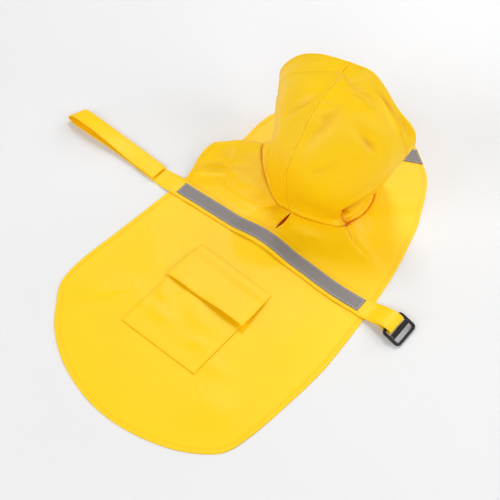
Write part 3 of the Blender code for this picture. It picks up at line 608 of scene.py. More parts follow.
FOLDS = {
    "left_shoulder": Fold(7, [
        Crest(-64, 112, 62, 48, 34), Crest(-89, 111, 50, 48, 34), Crest(-111, 110, 38, 48, 30),
        Crest(-131, 99, 30, 46, 25), Crest(-150, 87, 24, 44, 22)]),
    "spine": Fold(18, [Crest(0, 100, 7, 32, 32), Crest(2, 22, 8, 30, 30)]),
    "right_nape": Fold(9, [
        Crest(14, 90, 3, 26, 30), Crest(40, 97, 7, 30, 30), Crest(68, 110, 6, 26, 30)]),
    "right_neck_crease": Fold(7, [Crest(70, 110, 4, 12, 14), Crest(96, 92, 2, 12, 14)]),
    "shoulder_wave_high": Fold(7, [Crest(-78, 92, 3.0, 11, 11), Crest(-147, 70, 2.5, 11, 11)]),
    "shoulder_wave_low": Fold(7, [Crest(-55, 62, 3.0, 13, 13), Crest(-140, 50, 2.0, 12, 12)]),
    "right_front_swell": Fold(9, [Crest(74, 166, 4, 20, 20), Crest(118, 205, 2, 20, 20)]),
}
SLOPE_POWER = 1.3


# %% The body's form
def fold_height(x, y, fold):
    """Height that one fold gives the cloth."""
    nearest, height = np.full(x.shape, np.inf), np.zeros(x.shape)
    crests = [Crest(*row) for row in path_through(fold.crests, 5)]
    for a, b in zip(crests, crests[1:]):
        run_x, run_y = b.x - a.x, b.y - a.y
        t = np.clip(((x - a.x) * run_x + (y - a.y) * run_y) / (run_x ** 2 + run_y ** 2), 0, 1)
        off_x, off_y = x - a.x - run_x * t, y - a.y - run_y * t
        distance = np.hypot(off_x, off_y)
        reach = np.where(off_y > 0, a.front + (b.front - a.front) * t,
                         a.behind + (b.behind - a.behind) * t)
        share = (np.hypot(distance, fold.round) - fold.round) / reach
        here = (a.height + (b.height - a.height) * t) * np.clip(1 - share, 0, 1) ** SLOPE_POWER
        height = np.where(distance < nearest, here, height)
        nearest = np.minimum(distance, nearest)
    return height


def neck_point(deg):
    radius = table_value(NECKLINE, (deg + 180.0) % 360.0 - 180.0)
    angle = np.radians(deg)
    return np.stack([NECK_CENTRE[0] + radius * np.sin(angle),
                     NECK_CENTRE[1] - radius * np.cos(angle)], -1)


def coat_height(x, y, deg):
    """Height of the underside of the cloth over the table."""
    lift = FLAP_LIFT * between(deg, FLAP_LIFT_DEGS)
    return sum(fold_height(x, y, fold) for fold in FOLDS.values()) + lift


# %% [markdown]
# The creases of the body: a fan of waves runs over the left shoulder, where the hood pulls the
# cloth together, the right nape buckles towards the corner of the neckline, and the back has a
# few long, shallow ones from the way it was folded in its bag.

# %% The body's creases
COAT_CREASES = [
    Crease(6.5, [(-121, 83, -2.3), (-94, 89, -3.4), (-66, 92.5, -1.6)]),
    Crease(5.5, [(-146, 62, 1.1), (-121, 78, 2.5), (-90, 85.7, 1.8), (-72, 88, 0.4)]),
    Crease(6.5, [(-140, 54, -1.4), (-109, 75, -3.2), (-76.5, 82, -2.7), (-58, 86, -0.7)]),
    Crease(6.0, [(-133, 46, 0.9), (-109.6, 64.5, 2.5), (-83, 71, 2.3), (-66, 75, 0.7)]),
    Crease(5.0, [(-98, 66.5, -1.1), (-76, 72.7, -3.0), (-54, 78.5, -1.6)]),
    Crease(7.0, [(-62, 58, -0.7), (-39.5, 68.3, -2.7), (-20, 76.5, -1.6)]),
    Crease(20, [(-150, -190, 0.5), (-112, -168, 1.9), (-75, -146, 1.4), (-62, -128, 0.2)]),
    Crease(7.0, [(-104, -190, -0.6), (-92, -172, -1.3), (-78, -148, -1.2)]),
    Crease(9.0, [(52, -158, 0.2), (72, -162, 1.4), (98, -164, 0.4)]),
    Crease(24, [(70, -206, 0.3), (112, -204, 2.0), (140, -206, 0.6)]),
    Crease(26, [(-120, -40, 0.3), (-96, -84, 1.7), (-88, -120, 0.4)]),
    Crease(22, [(88, -20, 0.3), (112, -60, 1.8), (128, -118, 0.4)]),
    Crease(6.0, [(2, 0, -0.9), (14, -9, -0.7), (27, -18, -0.2)]),
    Crease(5.0, [(-107, 3, 1.0), (-100, 7, 0.3)]),
    Crease(6.0, [(-76, -44, 0.9), (-70, -42, 0.4)]),
    Crease(8.0, [(18, 73, 1.4), (42, 78, 2.2), (62, 88, 1.0)]),
    Crease(7.0, [(24, 58, -1.0), (38, 62, -1.8), (54, 67, -1.0)]),
    Crease(2.5, [(73.9, 104.6, -3.0), (82.9, 99.2, -3.5), (95, 93, -2.6), (109, 89.5, -1.6),
                 (130, 82.4, -0.5)]),
    Crease(10, [(97, 93, 0.9), (120, 84, 1.9), (144, 79, 0.9)]),
    Crease(9.0, [(64, 213, 0.2), (86, 222, 1.4), (101, 229, 0.8)]),
]

# %% [markdown]
# The panel is a grid of sections and rings. Rings are set close together where the hem is
# turned and stitched and wide apart in the field, so the triangles go where the form is. The
# leash slit is cut by a Boolean with a lens-shaped tool, as a punch would cut it.

# %% The body's piece
COAT_SECTION_COUNT = 441
EDGE_SHARES = [0.02, 0.05, 0.09, 0.13, 0.17, 0.22, 0.3]
FRONT_STITCHES, NECK_STITCHES, HEM_STITCHES = 4.4, 6.0, (4.4, 6.8)
FRONT_SEAM_CORNERS, COAT_SEAM_CORNERS = 7.0, 5.0    # no stitches closer to an edge's corners
NECK_RINGS = [0.0, 0.4, 1.0, 2.0, 3.2, 4.6, 5.5, 6.0, 6.5, 7.4]
HEM_RINGS = [12.0, 10.0, 8.6, 7.7, 7.2, 6.8, 6.4, 6.0, 5.6, 5.2, 4.8, 4.4, 4.0, 3.6, 3.0, 2.3, 1.6,
             1.0, 0.5, 0.2, 0.0]
FIELD_RINGS, FIELD_POWER = 62, 1.15
TURNED_EDGE, TURNED_LEAST = 1.2, 0.35
PUCKER, PUCKER_REACH = 0.28, 9.0
NECK_TROUGH, NECK_TROUGH_REACH = 2.0, 1.6
# Painted shade: within this reach of the neck seam the coat and the hood are painted deep orange, for
# the shade in the seam.
NECK_SHADE, NECK_SHADE_REACH = 0.95, 2.3
PUCKER_WAVES = [(3.1, 0.0), (4.7, 1.3), (7.9, 2.1)]         # length of a radian, and start
SLIT_GAPE = (2.0, 2.2)      # the worn slit gapes this much more than its cut, along and across
PUNCH_STEPS, PUNCH_HEIGHTS = 12, (-5.0, 35.0)


def uneven(run):
    """A wave from 0 to 1 that doesn't repeat, for puckers along a seam."""
    waves = sum(np.sin(run / length + start) for length, start in PUCKER_WAVES)
    return 0.5 + waves / (2 * len(PUCKER_WAVES))


def coat_grid():
    last = len(COAT_SECTIONS) - 1
    edges = np.array(EDGE_SHARES)
    at = np.unique(np.concatenate([np.linspace(0, last, COAT_SECTION_COUNT), edges, last - edges]))
    deg, hem_x, hem_y = spline(np.arange(last + 1), np.array(COAT_SECTIONS, float), at).T
    neck, hem = neck_point(deg), np.stack([hem_x, hem_y], -1)
    out = hem - neck
    lengths = np.linalg.norm(out, axis=1)
    way = np.gradient(hem, axis=0)
    way /= np.linalg.norm(way, axis=1, keepdims=True)
    square = np.abs(out[:, 0] * way[:, 1] - out[:, 1] * way[:, 0]) / lengths
    start, end = NECK_RINGS[-1], lengths - HEM_RINGS[0] / square
    share = np.linspace(0, 1, FIELD_RINGS + 2)[1:-1] ** FIELD_POWER
    rings = np.concatenate([np.broadcast_to(NECK_RINGS, (len(at), len(NECK_RINGS))),
                            start + (end - start)[:, None] * share,
                            lengths[:, None] - np.array(HEM_RINGS) / square[:, None]], 1)
    part = (rings / lengths[:, None])[..., None]
    plan = neck[:, None] * (1 - part) + hem[:, None] * part
    z = coat_height(plan[..., 0], plan[..., 1], deg[:, None])
    from_hem = (lengths[:, None] - rings) * square[:, None]
    return deg, np.concatenate([plan, z[..., None]], -1), rings, from_hem, square


def lens_outline(length, width, steps):
    """Outline of a pointed slit: two arcs that meet at its ends."""
    half = length / 2
    bend = (half ** 2 + (width / 2) ** 2) / width
    sweep = math.asin(half / bend)
    return [(side * (bend * math.cos(angle) - bend + width / 2), side * bend * math.sin(angle))
            for side in (1, -1) for angle in sweep * (1 - 2 * np.arange(steps) / steps)]


def combine(piece, tool_mesh, operation):
    """Cut a tool out of a piece, or join it on, with a Boolean; the tool is used up."""
    tool = put(tool_mesh.name, tool_mesh)
    join = piece.modifiers.new("join", "BOOLEAN")
    join.operation, join.solver, join.object = operation, "EXACT", tool
    graph = bpy.context.evaluated_depsgraph_get()
    whole = piece.data
    piece.data = bpy.data.meshes.new_from_object(piece.evaluated_get(graph))
    piece.modifiers.clear()
    bpy.data.objects.remove(tool)
    bpy.data.meshes.remove(whole)
    tidy_faces(piece.data)


def cut_through(piece, outline):
    """Cut an outline, seen from above, right through a piece."""
    count = len(outline)
    points = [(x, y, z) for z in PUNCH_HEIGHTS for x, y in outline]
    faces = [tuple(range(count)), tuple(range(count, 2 * count))]
    faces += [(k, (k + 1) % count, count + (k + 1) % count, count + k) for k in range(count)]
    combine(piece, tidy_mesh("slit_punch", points, faces), "DIFFERENCE")


coat_deg, coat_under, from_neck, from_hem, hem_square = coat_grid()
coat_normals = normals_of(coat_under, -1)
from_fronts = np.minimum(edge_run(coat_under, 0, False), edge_run(coat_under, 0, True))
crease = crease_offset(coat_under.reshape(-1, 3), COAT_CREASES).reshape(from_hem.shape)
crease += PUCKER * uneven(run_along(coat_under[:, -1]))[:, None] * np.exp(-from_hem / PUCKER_REACH)
crease -= NECK_TROUGH * np.exp(-(from_neck / NECK_TROUGH_REACH) ** 2)
coat_under = coat_under + coat_normals * np.maximum(crease, -coat_under[..., 2])[..., None]
coat_normals = normals_of(coat_under, -1)
coat_edge = np.minimum(np.minimum(from_neck, from_hem), from_fronts)
coat_thick = CLOTH * rounded(coat_edge, TURNED_EDGE, TURNED_LEAST) - groove(from_neck, NECK_STITCHES)
coat_thick -= groove(from_fronts, FRONT_STITCHES) + sum(groove(from_hem, at) for at in HEM_STITCHES)
coat_over = coat_under + coat_normals * coat_thick[..., None]
# Painted shade along the neck seam.
coat_painted_shade = NECK_SHADE * np.exp(-(from_neck / NECK_SHADE_REACH) ** 2)
coat_body = shell("coat_body_panel", coat_under, coat_over, coated_cloth, painted_shade=coat_painted_shade)
coat_top = Ground(coat_over)
slit_size = (SLIT_LENGTH + SLIT_GAPE[0], SLIT_WIDTH + SLIT_GAPE[1])
cut_through(coat_body, np.array(SLIT_MIDDLE) + lens_outline(*slit_size, PUNCH_STEPS))
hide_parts("coat_body")
print("body panel:", len(coat_body.data.polygons), "faces")

# %% [markdown]
# The slit's raw edges are bound: a narrow strip rolls over each edge and turns down into the
# slit, where the two strips nearly meet. Where a strip goes down into the slit, its colour is
# painted deep orange, as painted shade, so the slit looks dark inside and not white as the table
# under it. Each strip is swept along its edge by a short profile.

# %% The slit's binding
LipRow = namedtuple("LipRow", "beside across height")      # mm outside the edge, share across, mm
LIP_PROFILE = [LipRow(1.5, 0, -0.3), LipRow(1.3, 0, 0.1), LipRow(0.8, 0, 0.3),
               LipRow(0.2, 0, 0.25), LipRow(-0.1, 0, 0.0), LipRow(-0.1, 0.05, -1.5),
               LipRow(0, 0.1, -3.5), LipRow(0, 0.5, -5.5), LipRow(0, 0.93, -6.5)]
LIP_CLOTH, LIP_STEPS, LIP_RISE_POWER = 0.4, 40, 4      # the strips rise late, at the slit's ends
# Painted shade: below these heights the strip is painted deep orange, for the shade down in the slit.
LIP_SHADE = (-0.5, -2.5)            # heights between which the strip turns deep orange


def slit_lip(side):
    """Grid of one binding strip, from the coat's top over the slit's edge and down into it."""
    outline = lens_outline(*slit_size, LIP_STEPS)[:LIP_STEPS] + [(0.0, -slit_size[0] / 2)]
    grid = []
    for off, along in outline:
        off, share = abs(off), abs(2 * along / slit_size[0])
        row = []
        for lip in LIP_PROFILE:
            x = SLIT_MIDDLE[0] + side * (off * (1 - lip.across) + lip.beside)
            y = SLIT_MIDDLE[1] + along
            drop = lip.height * (1 if lip.height > 0 else 1 - share ** LIP_RISE_POWER)
            row.append((x, y, coat_top.top(x, y)[0] + drop))
        grid.append(row)
    return np.array(grid)


slit_strips = []
for side in (1, -1):
    over = slit_lip(side)
    under = over - normals_of(over, side) * LIP_CLOTH
    # The part of each strip down in the slit carries painted shade.
    inside = np.broadcast_to(between(np.array([lip.height for lip in LIP_PROFILE]), LIP_SHADE),
                             over.shape[:2])
    slit_strips.append(shell("slit_binding_" + ("right" if side > 0 else "left"), under, over,
                             coated_cloth, painted_shade=inside))
print("slit binding:", len(slit_strips), "strips")

# %% [markdown]
# The thread is spun polyester, dyed to match the cloth, with a fine twist.

# %% Material: spun polyester thread, and the body's stitches
TWIST_MM = 0.5
THREAD_YELLOWS, THREAD_GREYS = ("f6cc10", "eab804"), ("e6e3e3", "d6d3d3")


def make_thread(name, colour, shade):
    made, tree, shader, place = start_material(name)
    twist = add(tree, "ShaderNodeTexNoise", {"Vector": place, "Scale": per_metre(TWIST_MM)})
    tone = add(tree, "ShaderNodeMix", {"Factor": twist, "A": linear(colour), "B": linear(shade)},
               data_type="RGBA")
    bump = add(tree, "ShaderNodeBump", {"Height": twist, "Strength": 0.4, "Distance": 0.1 * MM})
    feed(tree, shader, {"Base Color": tone, "Normal": bump, "Roughness": 0.6})
    return made


yellow_thread = make_thread("spun_polyester_thread_yellow", *THREAD_YELLOWS)
grey_thread = make_thread("spun_polyester_thread_grey", *THREAD_GREYS)
SLIT_BOX = [(-4.6, 12.5), (-4.6, -20.6), (4.6, -20.6), (4.6, 12.5)]    # from the slit's middle
coat_lines = [seam_line(coat_over, coat_normals, at / hem_square, "far", COAT_SEAM_CORNERS)
              for at in HEM_STITCHES]
coat_lines += [seam_line(coat_over, coat_normals, FRONT_STITCHES, edge, FRONT_SEAM_CORNERS)
               for edge in ("start", "end")]
coat_lines += [seam_line(coat_over, coat_normals, NECK_STITCHES, "near", COAT_SEAM_CORNERS),
               plan_line(coat_top, np.array(SLIT_MIDDLE) + SLIT_BOX)]
coat_stitches = sew("coat_body_stitches", coat_lines, yellow_thread)

# %% [markdown]
# ## The hood
# The hood has two halves, sewn together along the crown and sewn to the neckline. Each half is
# drawn by ribs that rise from the neckline to the centre seam, and the last rib is the face
# edge. The left half leans on the shoulder's fold.

# %% Tables of the hood
Rib = namedtuple("Rib", "deg low side high crown peak seam")
NAPE_RIB = Rib(SEAM_DEG, (-5, 80, 30), (-6, 78, 52), (-6, 77, 72), (-6, 78, 90), (-5, 81, 102),
               (-5, 84, 111))
HOOD_RIGHT = [
    NAPE_RIB,
    Rib(30, (31, 87, 28), (33, 84, 54), (32, 85, 80), (26, 89, 101), (12, 94, 116),
        (-5, 98, 127)),
    Rib(60, (60, 105, 15), (69, 106, 40), (69, 111, 82), (56, 114, 119), (30, 116, 141),
        (-4, 116, 151)),
    Rib(93, (63, 148, 13), (82, 147, 44), (95, 145, 92), (82, 142, 136), (44, 139, 161),
        (-3, 137, 168)),
    Rib(123, (61, 180, 14), (82, 171, 52), (100, 166, 102), (91, 164, 147), (54, 161, 175),
        (-2, 158, 177)),
    Rib(FACE_DEG_RIGHT, (64, 204, 26), (94, 187, 86), (108, 184, 142), (76, 185, 169),
        (39, 186, 201), (1, 190, 194)),
]
HOOD_LEFT = [
    NAPE_RIB,
    Rib(-28, (-36, 86, 36), (-38, 86, 58), (-37, 88, 80), (-31, 92, 102), (-19, 96, 117),
        (-5, 98, 127)),
    Rib(-60, (-63, 115, 68), (-59, 116, 82), (-57, 118, 100), (-47, 118, 121), (-28, 118, 140),
        (-4, 116, 151)),
    Rib(-86, (-74, 146, 34), (-78, 145, 68), (-78, 144, 102), (-65, 143, 134), (-38, 140, 157),
        (-3, 137, 168)),
    Rib(-120, (-77, 176, 32), (-91, 171, 70), (-92, 170, 110), (-75, 168, 145), (-42, 164, 168),
        (-2, 158, 177)),
    Rib(FACE_DEG_LEFT, (-74, 206, 30), (-99, 191, 78), (-100, 184, 124), (-78, 187, 159),
        (-45, 188, 182), (1, 190, 194)),
]
HOOD_CREASES = {
    "hood_right_half": [
        Crease(2.6, [(6, 170.5, 186, -0.8), (10.9, 168.5, 184.8, -1.8), (17, 166, 183, -0.5)]),
        Crease(2.8, [(14, 165, 183, -0.5), (19, 168, 186, -1.6), (27, 174, 192, -0.7)]),
        Crease(5.0, [(16, 161, 181, -0.6), (28.4, 160.5, 180.5, -2.8), (45.6, 160, 178.5, -2.6),
                     (62, 159, 169, -1.2), (76, 160, 158, -0.3)]),
        Crease(7.0, [(48, 134, 157, -0.8), (60, 134.2, 150, -3.2), (70, 135, 142, -4.8),
                     (77.1, 135.7, 136.1, -4.0), (85, 139, 127, -0.8)]),
        Crease(8.0, [(56, 150, 166, 0.4), (67, 147, 158, 1.8), (77, 148, 151, 1.2)]),
        Crease(10, [(1, 91, 118.8, -1.0), (10, 108, 139, -3.2), (19.4, 125.2, 157.2, -3.6),
                    (22.4, 149.9, 174.1, -1.8)]),
        Crease(9.0, [(8, 84, 106, -0.6), (22, 87, 98, -2.6), (36, 93, 104, -3.4), (50, 106, 118, -3.0),
                     (62, 122, 132, -1.0)]),
        Crease(16, [(26, 82, 50, 0.6), (42, 91, 56, 1.8), (62, 103, 66, 2.6), (76, 117, 78, 2.4),
                    (84, 130, 96, 1.4)]),
        Crease(4.0, [(8, 120, 154, -1.0), (9.9, 123.6, 157.4, -2.2), (14, 129, 161, -0.9)]),
        Crease(4.0, [(3, 132, 165, -0.9), (5, 135.3, 167.5, -1.8), (10, 139, 169, -0.8)]),
        Crease(6.5, [(36, 178, 199, -0.9), (56, 176, 184, -4.0), (76, 175.6, 171.2, -5.2),
                     (92, 176, 156, -4.6), (104, 179, 138, -1.2)]),
        Crease(8.0, [(67, 107, 28, -2.0), (71.9, 110.9, 36, -9.0), (78.4, 122.7, 43, -10.0),
                     (81.7, 132, 48, -7.0), (84, 144, 54, -1.0)]),
        Crease(6.0, [(70, 103, 50, 1.0), (79, 116, 61, 2.6), (86, 131, 70, 2.0), (90, 146, 77, 0.4)]),
        Crease(4.6, [(66, 103, 36, -4.0), (65, 110, 22, -11.0), (66, 112, 14, -12.0),
                     (70, 109, 9, -6.0)]),
        Crease(2.5, [(60, 99, 10, 1.5), (62, 100, 20, 3.0), (65, 101, 34, 2.0), (68, 101, 46, 0.8)]),
        Crease(9.0, [(82, 141, 60, -1.0), (91, 150, 84, -2.0), (92, 158, 112, -1.2)]),
        Crease(8.0, [(76, 160, 28, -1.0), (88, 168, 52, -2.0), (97, 170, 80, -0.8)]),
    ],
    "hood_left_half": [
        Crease(7.0, [(-50, 118, 124, -0.9), (-41.2, 120.6, 134.6, -3.0), (-21.6, 128.6, 157.2, -3.6),
                     (-7.1, 146.9, 173, -1.9)]),
        Crease(3.5, [(-48, 103, 106, 0.4), (-45, 98, 90, 2.4), (-43, 92, 68, 3.0), (-41, 88, 48, 2.6),
                     (-37, 85, 32, 1.2)]),
        Crease(4.0, [(-54, 105, 88, -0.8), (-53, 100, 70, -3.0), (-51, 95, 52, -3.4),
                     (-45, 91, 34, -1.6)]),
        Crease(9.0, [(-30, 95, 98, -0.6), (-24, 88, 78, -1.6), (-20, 83, 56, -0.8)]),
        Crease(9.0, [(-72, 128, 84, -1.8), (-79, 143, 104, -3.0), (-74, 152, 132, -1.4)]),
        Crease(8.0, [(-79, 158, 52, -1.0), (-86, 164, 78, -2.4), (-90, 166, 104, -0.9)]),
        Crease(6.0, [(-30, 180, 183, -0.6), (-52, 179, 172, -2.2), (-74, 179, 156, -2.0),
                     (-90, 180, 136, -0.6)]),
    ],
}

# %% [markdown]
# Each half ends in a wide hem round the face, turned in and stitched down twice. The hem is
# half as thick again as the cloth, and its stitching pulls a groove that reads as a dark line.
# The columns of the grid are set close together from where the hem can begin.

# %% The hood's two halves
HemRow = namedtuple("HemRow", "level width")
FACE_HEM = {"hood_right_half": [HemRow(0, 24), HemRow(0.26, 26), HemRow(0.55, 28), HemRow(0.69, 27),
                                HemRow(0.84, 31), HemRow(0.92, 29), HemRow(1, 20)],
            "hood_left_half": [HemRow(0, 25), HemRow(0.5, 26), HemRow(0.8, 30), HemRow(1, 20)]}
HEM_FROM_DEG, FIELD_COLUMNS, HEM_COLUMNS = 112.0, 120, 78
FIELD_LEVELS, SEAM_LEVELS, SEAM_LEVEL = 100, 22, 0.962
FACE_STITCHES, HEM_LINE_INSET, CENTRE_STITCHES = 3.2, 1.6, 5.0
HOOD_SEAM_CORNERS = 4.0
HEM_GROOVE, HEM_STEP = 0.6, 1.2
CENTRE_SPARE = 0.05         # keeps the two halves clear of each other where they are rounded
# Painted shade: pleats pressed in deeper than the first depth turn towards deep orange, fully at the
# second, for the shade inside them.
PLEAT_SHADE, PLEAT_DEPTHS = 0.75, (1.8, 8.0)       # where a pleat turns deep orange
NECK_ROLL, NECK_ROLL_AT, NECK_ROLL_HALF, FOOT_ROUND = 1.6, 4.0, 3.2, 2.0
FOOT_LEVELS, FIELD_FROM_LEVEL = [0, 0.002, 0.004, 0.007, 0.01], 0.015
HOOD_LEVEL = np.concatenate([FOOT_LEVELS,
                             np.linspace(FIELD_FROM_LEVEL, SEAM_LEVEL, FIELD_LEVELS)[:-1],
                             np.linspace(SEAM_LEVEL, 1, SEAM_LEVELS)])


def hood_grid(ribs):
    """Inside of one half of the hood, and the coat's way up at the foot of each column."""
    ordered = sorted(ribs, key=lambda rib: rib.deg)
    knots = [rib.deg for rib in ordered]
    table = np.array([rib[1:] for rib in ordered], float)
    hem_from = math.copysign(HEM_FROM_DEG, ribs[-1].deg)
    deg = np.concatenate([np.linspace(SEAM_DEG, hem_from, FIELD_COLUMNS)[:-1],
                          np.linspace(hem_from, ribs[-1].deg, HEM_COLUMNS)])
    points = spline(knots, table, deg)
    order = np.argsort(coat_deg)
    rim = np.concatenate([coat_over[:, 0], coat_normals[:, 0]], 1)[order]
    foot = np.stack([np.interp(deg, coat_deg[order], rim[:, i]) for i in range(6)], -1)
    up = foot[:, 3:] / np.linalg.norm(foot[:, 3:], axis=1, keepdims=True)
    start = foot[:, :3] + up * (GAP + SEAM_SLACK)
    column = np.concatenate([start[:, None], points], 1)
    levels = spline(np.linspace(0, 1, column.shape[1]), column.transpose(1, 0, 2), HOOD_LEVEL)
    return levels.transpose(1, 0, 2), up


def make_hood_half(name, node, ribs):
    side = 1 if ribs[-1].deg > 0 else -1
    inside, up = hood_grid(ribs)
    normals = normals_of(inside, side)
    moved = crease_offset(inside.reshape(-1, 3), HOOD_CREASES[name]).reshape(inside.shape[:2])
    from_foot, from_face = edge_run(inside, 1, False), edge_run(inside, 0, True)
    moved += NECK_ROLL * np.exp(-((from_foot - NECK_ROLL_AT) / NECK_ROLL_HALF) ** 2)
    inside = inside + normals * (moved * ease(from_foot / NECK_ROLL_HALF))[..., None]
    normals = normals_of(inside, side)
    normals[:, 0] -= up * np.sum(normals[:, 0] * up, axis=1, keepdims=True)
    for edge in (normals[0], normals[:, -1]):
        edge[:, 0] = 0.0
    normals /= np.linalg.norm(normals, axis=2, keepdims=True)
    nudge = np.array([side * (GAP / 2 + CENTRE_SPARE), 0, 0])
    inside[0] += nudge
    inside[1:, -1] += nudge
    from_seam = edge_run(inside, 1, True)
    hem_width = table_value(FACE_HEM[name], HOOD_LEVEL)
    thick = CLOTH + HOOD_HEM * ease((hem_width - from_face) / HEM_STEP + 0.5)
    hem_line = hem_width - HEM_LINE_INSET
    thick -= HEM_GROOVE / GROOVE_DEPTH * groove(from_face, hem_line) + groove(from_face, FACE_STITCHES)
    if side < 0:
        thick -= groove(from_seam, CENTRE_STITCHES)
    thick *= rounded(np.minimum(from_face, from_seam), TURNED_EDGE, TURNED_LEAST)
    thick *= rounded(from_foot, FOOT_ROUND, TURNED_LEAST)
    outside = inside + normals * thick[..., None]
    # Painted shade: deep orange at the hood's foot by the neck seam, and in the deep pleats.
    painted_shade = NECK_SHADE * np.exp(-(from_foot / NECK_SHADE_REACH) ** 2)
    painted_shade = np.maximum(painted_shade, PLEAT_SHADE * between(-moved, PLEAT_DEPTHS))
    made = shell(name, inside, outside, coated_cloth, painted_shade=painted_shade)
    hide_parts(node)
    print(name + ":", len(made.data.polygons), "faces")
    lines = [seam_line(outside, normals, inset, "end", HOOD_SEAM_CORNERS)
             for inset in (hem_line, FACE_STITCHES)]
    if side < 0:
        lines.append(seam_line(outside, normals, CENTRE_STITCHES, "far", HOOD_SEAM_CORNERS))
    return made, lines


hood_right, right_lines = make_hood_half("hood_right_half", "hood_right", HOOD_RIGHT)
hood_left, left_lines = make_hood_half("hood_left_half", "hood_left", HOOD_LEFT)
hood_stitches = sew("hood_stitches", right_lines + left_lines, yellow_thread)

# %% [markdown]
# ## The back strap
# A folded and topstitched strip crosses the back. Its left end is the belly tail, folded back
# on itself and held by hook and loop tape, and its right end climbs to the buckle and is sewn
# round the buckle's bar.

# %% Tables of the strap
LineRow = namedtuple("LineRow", "x y")
STRAP_LINE = [LineRow(-350, 26.5), LineRow(-300, 25.6), LineRow(-255, 24.8), LineRow(-184, 20.2),
              LineRow(-146, 20.0), LineRow(-80, 21.6), LineRow(-10, 22.8), LineRow(42, 22.4),
              LineRow(72, 20.8), LineRow(98, 18.9), LineRow(126, 17.9), LineRow(158, 19.4),
              LineRow(185, 19.9), LineRow(208, 19.0)]
TailRow = namedtuple("TailRow", "x near far")
TAIL_SIDE = [TailRow(-181, 5.1, 5.1), TailRow(-205, 5.1, 5.1), TailRow(-229, 5.2, 5.1),
             TailRow(-254, 8.2, 5.3), TailRow(-281, 14.0, 6.6), TailRow(-305, 18.0, 8.6),
             TailRow(-324, 18.2, 9.4), TailRow(-336, 15.4, 9.2), TailRow(-343, 10.6, 7.0),
             TailRow(-344, 6.2, 4.4), TailRow(-340, 2.5, 2.0), TailRow(-330, 0.85, 0.8),
             TailRow(-295, 0.8, 0.8), TailRow(-250, 0.8, 0.8), TailRow(-205, 0.8, 0.8),
             TailRow(-172, 0.8, 0.8), TailRow(-163, 1.4, 1.4)]
RiseRow = namedtuple("RiseRow", "x z")
BUCKLE_RISE = [RiseRow(166, 2.8), RiseRow(174, 4.2), RiseRow(181, 7.0), RiseRow(188, 10.0),
               RiseRow(195, 12.6)]
LOOP_RETURN = [RiseRow(197, 7.9), RiseRow(191.5, 8.4), RiseRow(185.5, 6.6), RiseRow(179.5, 4.2)]
STRAP_EDGE = [1, 0.985, 0.96, 0.92, 0.89, 0.87, 0.85, 0.83, 0.81, 0.78, 0.7]
STRAP_ACROSS = np.array([-share for share in STRAP_EDGE] + [-0.5, -0.25, 0.0, 0.25, 0.5]
                        + STRAP_EDGE[::-1])
STRAP_STITCHES, STRAP_SEAM_CORNERS = 2.15, 3.0
STRAP_ROUND, STRAP_LEAST = 0.9, 0.4
STRAP_BRIDGES = (4.5, 5.0)          # the stiff strap spans dips of the coat this far on each side
STATION_STEP, LOOP_STATIONS = 2.3, 21


# %% The strap's form and its piece
def strap_half(x):
    tail, buckle = between(x, TAIL_NARROWS), between(x, BUCKLE_NARROWS)
    return (STRAP_HALF + (STRAP_HALF_AT_TAIL - STRAP_HALF) * tail
            + (STRAP_HALF_AT_BUCKLE - STRAP_HALF) * buckle)


def top_around(x, y):
    """Highest place of the coat close to a place."""
    reach_x, reach_y = STRAP_BRIDGES
    found = [coat_top.top(x + dx, y + dy)[0]
             for dx in (-reach_x, 0, reach_x) for dy in (-reach_y, 0, reach_y)]
    return max(height for height in found if height is not None)


def strap_stations():
    """x of each station and the heights of its near and far edge; None where the coat carries it."""
    lowest = STRAP / 2
    tail = path_through(TAIL_SIDE, steps_between=7)
    stations = [(x, max(near, lowest), max(far, lowest)) for x, near, far in tail]
    first, last = STRAP_ON_COAT
    stations += [(x, None, None) for x in np.arange(first, last + STATION_STEP / 2, STATION_STEP)]
    stations += [(x, z, z) for x, z in path_through(BUCKLE_RISE, steps_between=6)]
    radius = BUCKLE_BAR / 2 + LOOP_CLEARANCE + STRAP / 2
    for angle in np.radians(np.linspace(LOOP_FROM_DEG, LOOP_TO_DEG, LOOP_STATIONS)):
        height = BUCKLE_AXIS[2] + radius * math.sin(angle)
        stations.append((BUCKLE_AXIS[0] + LOOP_REACH * math.cos(angle), height, height))
    stations += [(x, z, z) for x, z in path_through(LOOP_RETURN, steps_between=5)]
    return stations


def strap_grid():
    grid, kept = [], []
    for x, near, far in strap_stations():
        middle, half = table_value(STRAP_LINE, x)[0], strap_half(x)
        line = []
        for share in STRAP_ACROSS:
            y = middle + share * half
            if near is None:
                height = top_around(x, y) + GAP + SEAM_SLACK + STRAP / 2
            else:
                height = near + (far - near) * (share + 1) / 2
            slant = share * TAIL_FOLD_SLANT * between(x, TAIL_SLANTS)
            line.append((x + slant, y, height))
        grid.append(line)
        kept.append(near is None)
    return np.array(grid), np.array(kept)


strap_middle, strap_on_coat = strap_grid()
strap_normals = normals_of(strap_middle, 1)
strap_edge = (1 - np.abs(STRAP_ACROSS)) * STRAP_HALF
strap_thick = STRAP / 2 * rounded(strap_edge, STRAP_ROUND, STRAP_LEAST)
strap_thick -= groove(strap_edge, STRAP_STITCHES) / 2
strap_out = strap_normals * strap_thick[None, :, None]
strap_upper, strap_lower = strap_middle + strap_out, strap_middle - strap_out
strap = shell("back_strap_webbing", strap_lower, strap_upper, coated_cloth)
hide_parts("back_strap")
strap_top = Ground(strap_upper[strap_on_coat])
print("strap:", len(strap.data.polygons), "faces")

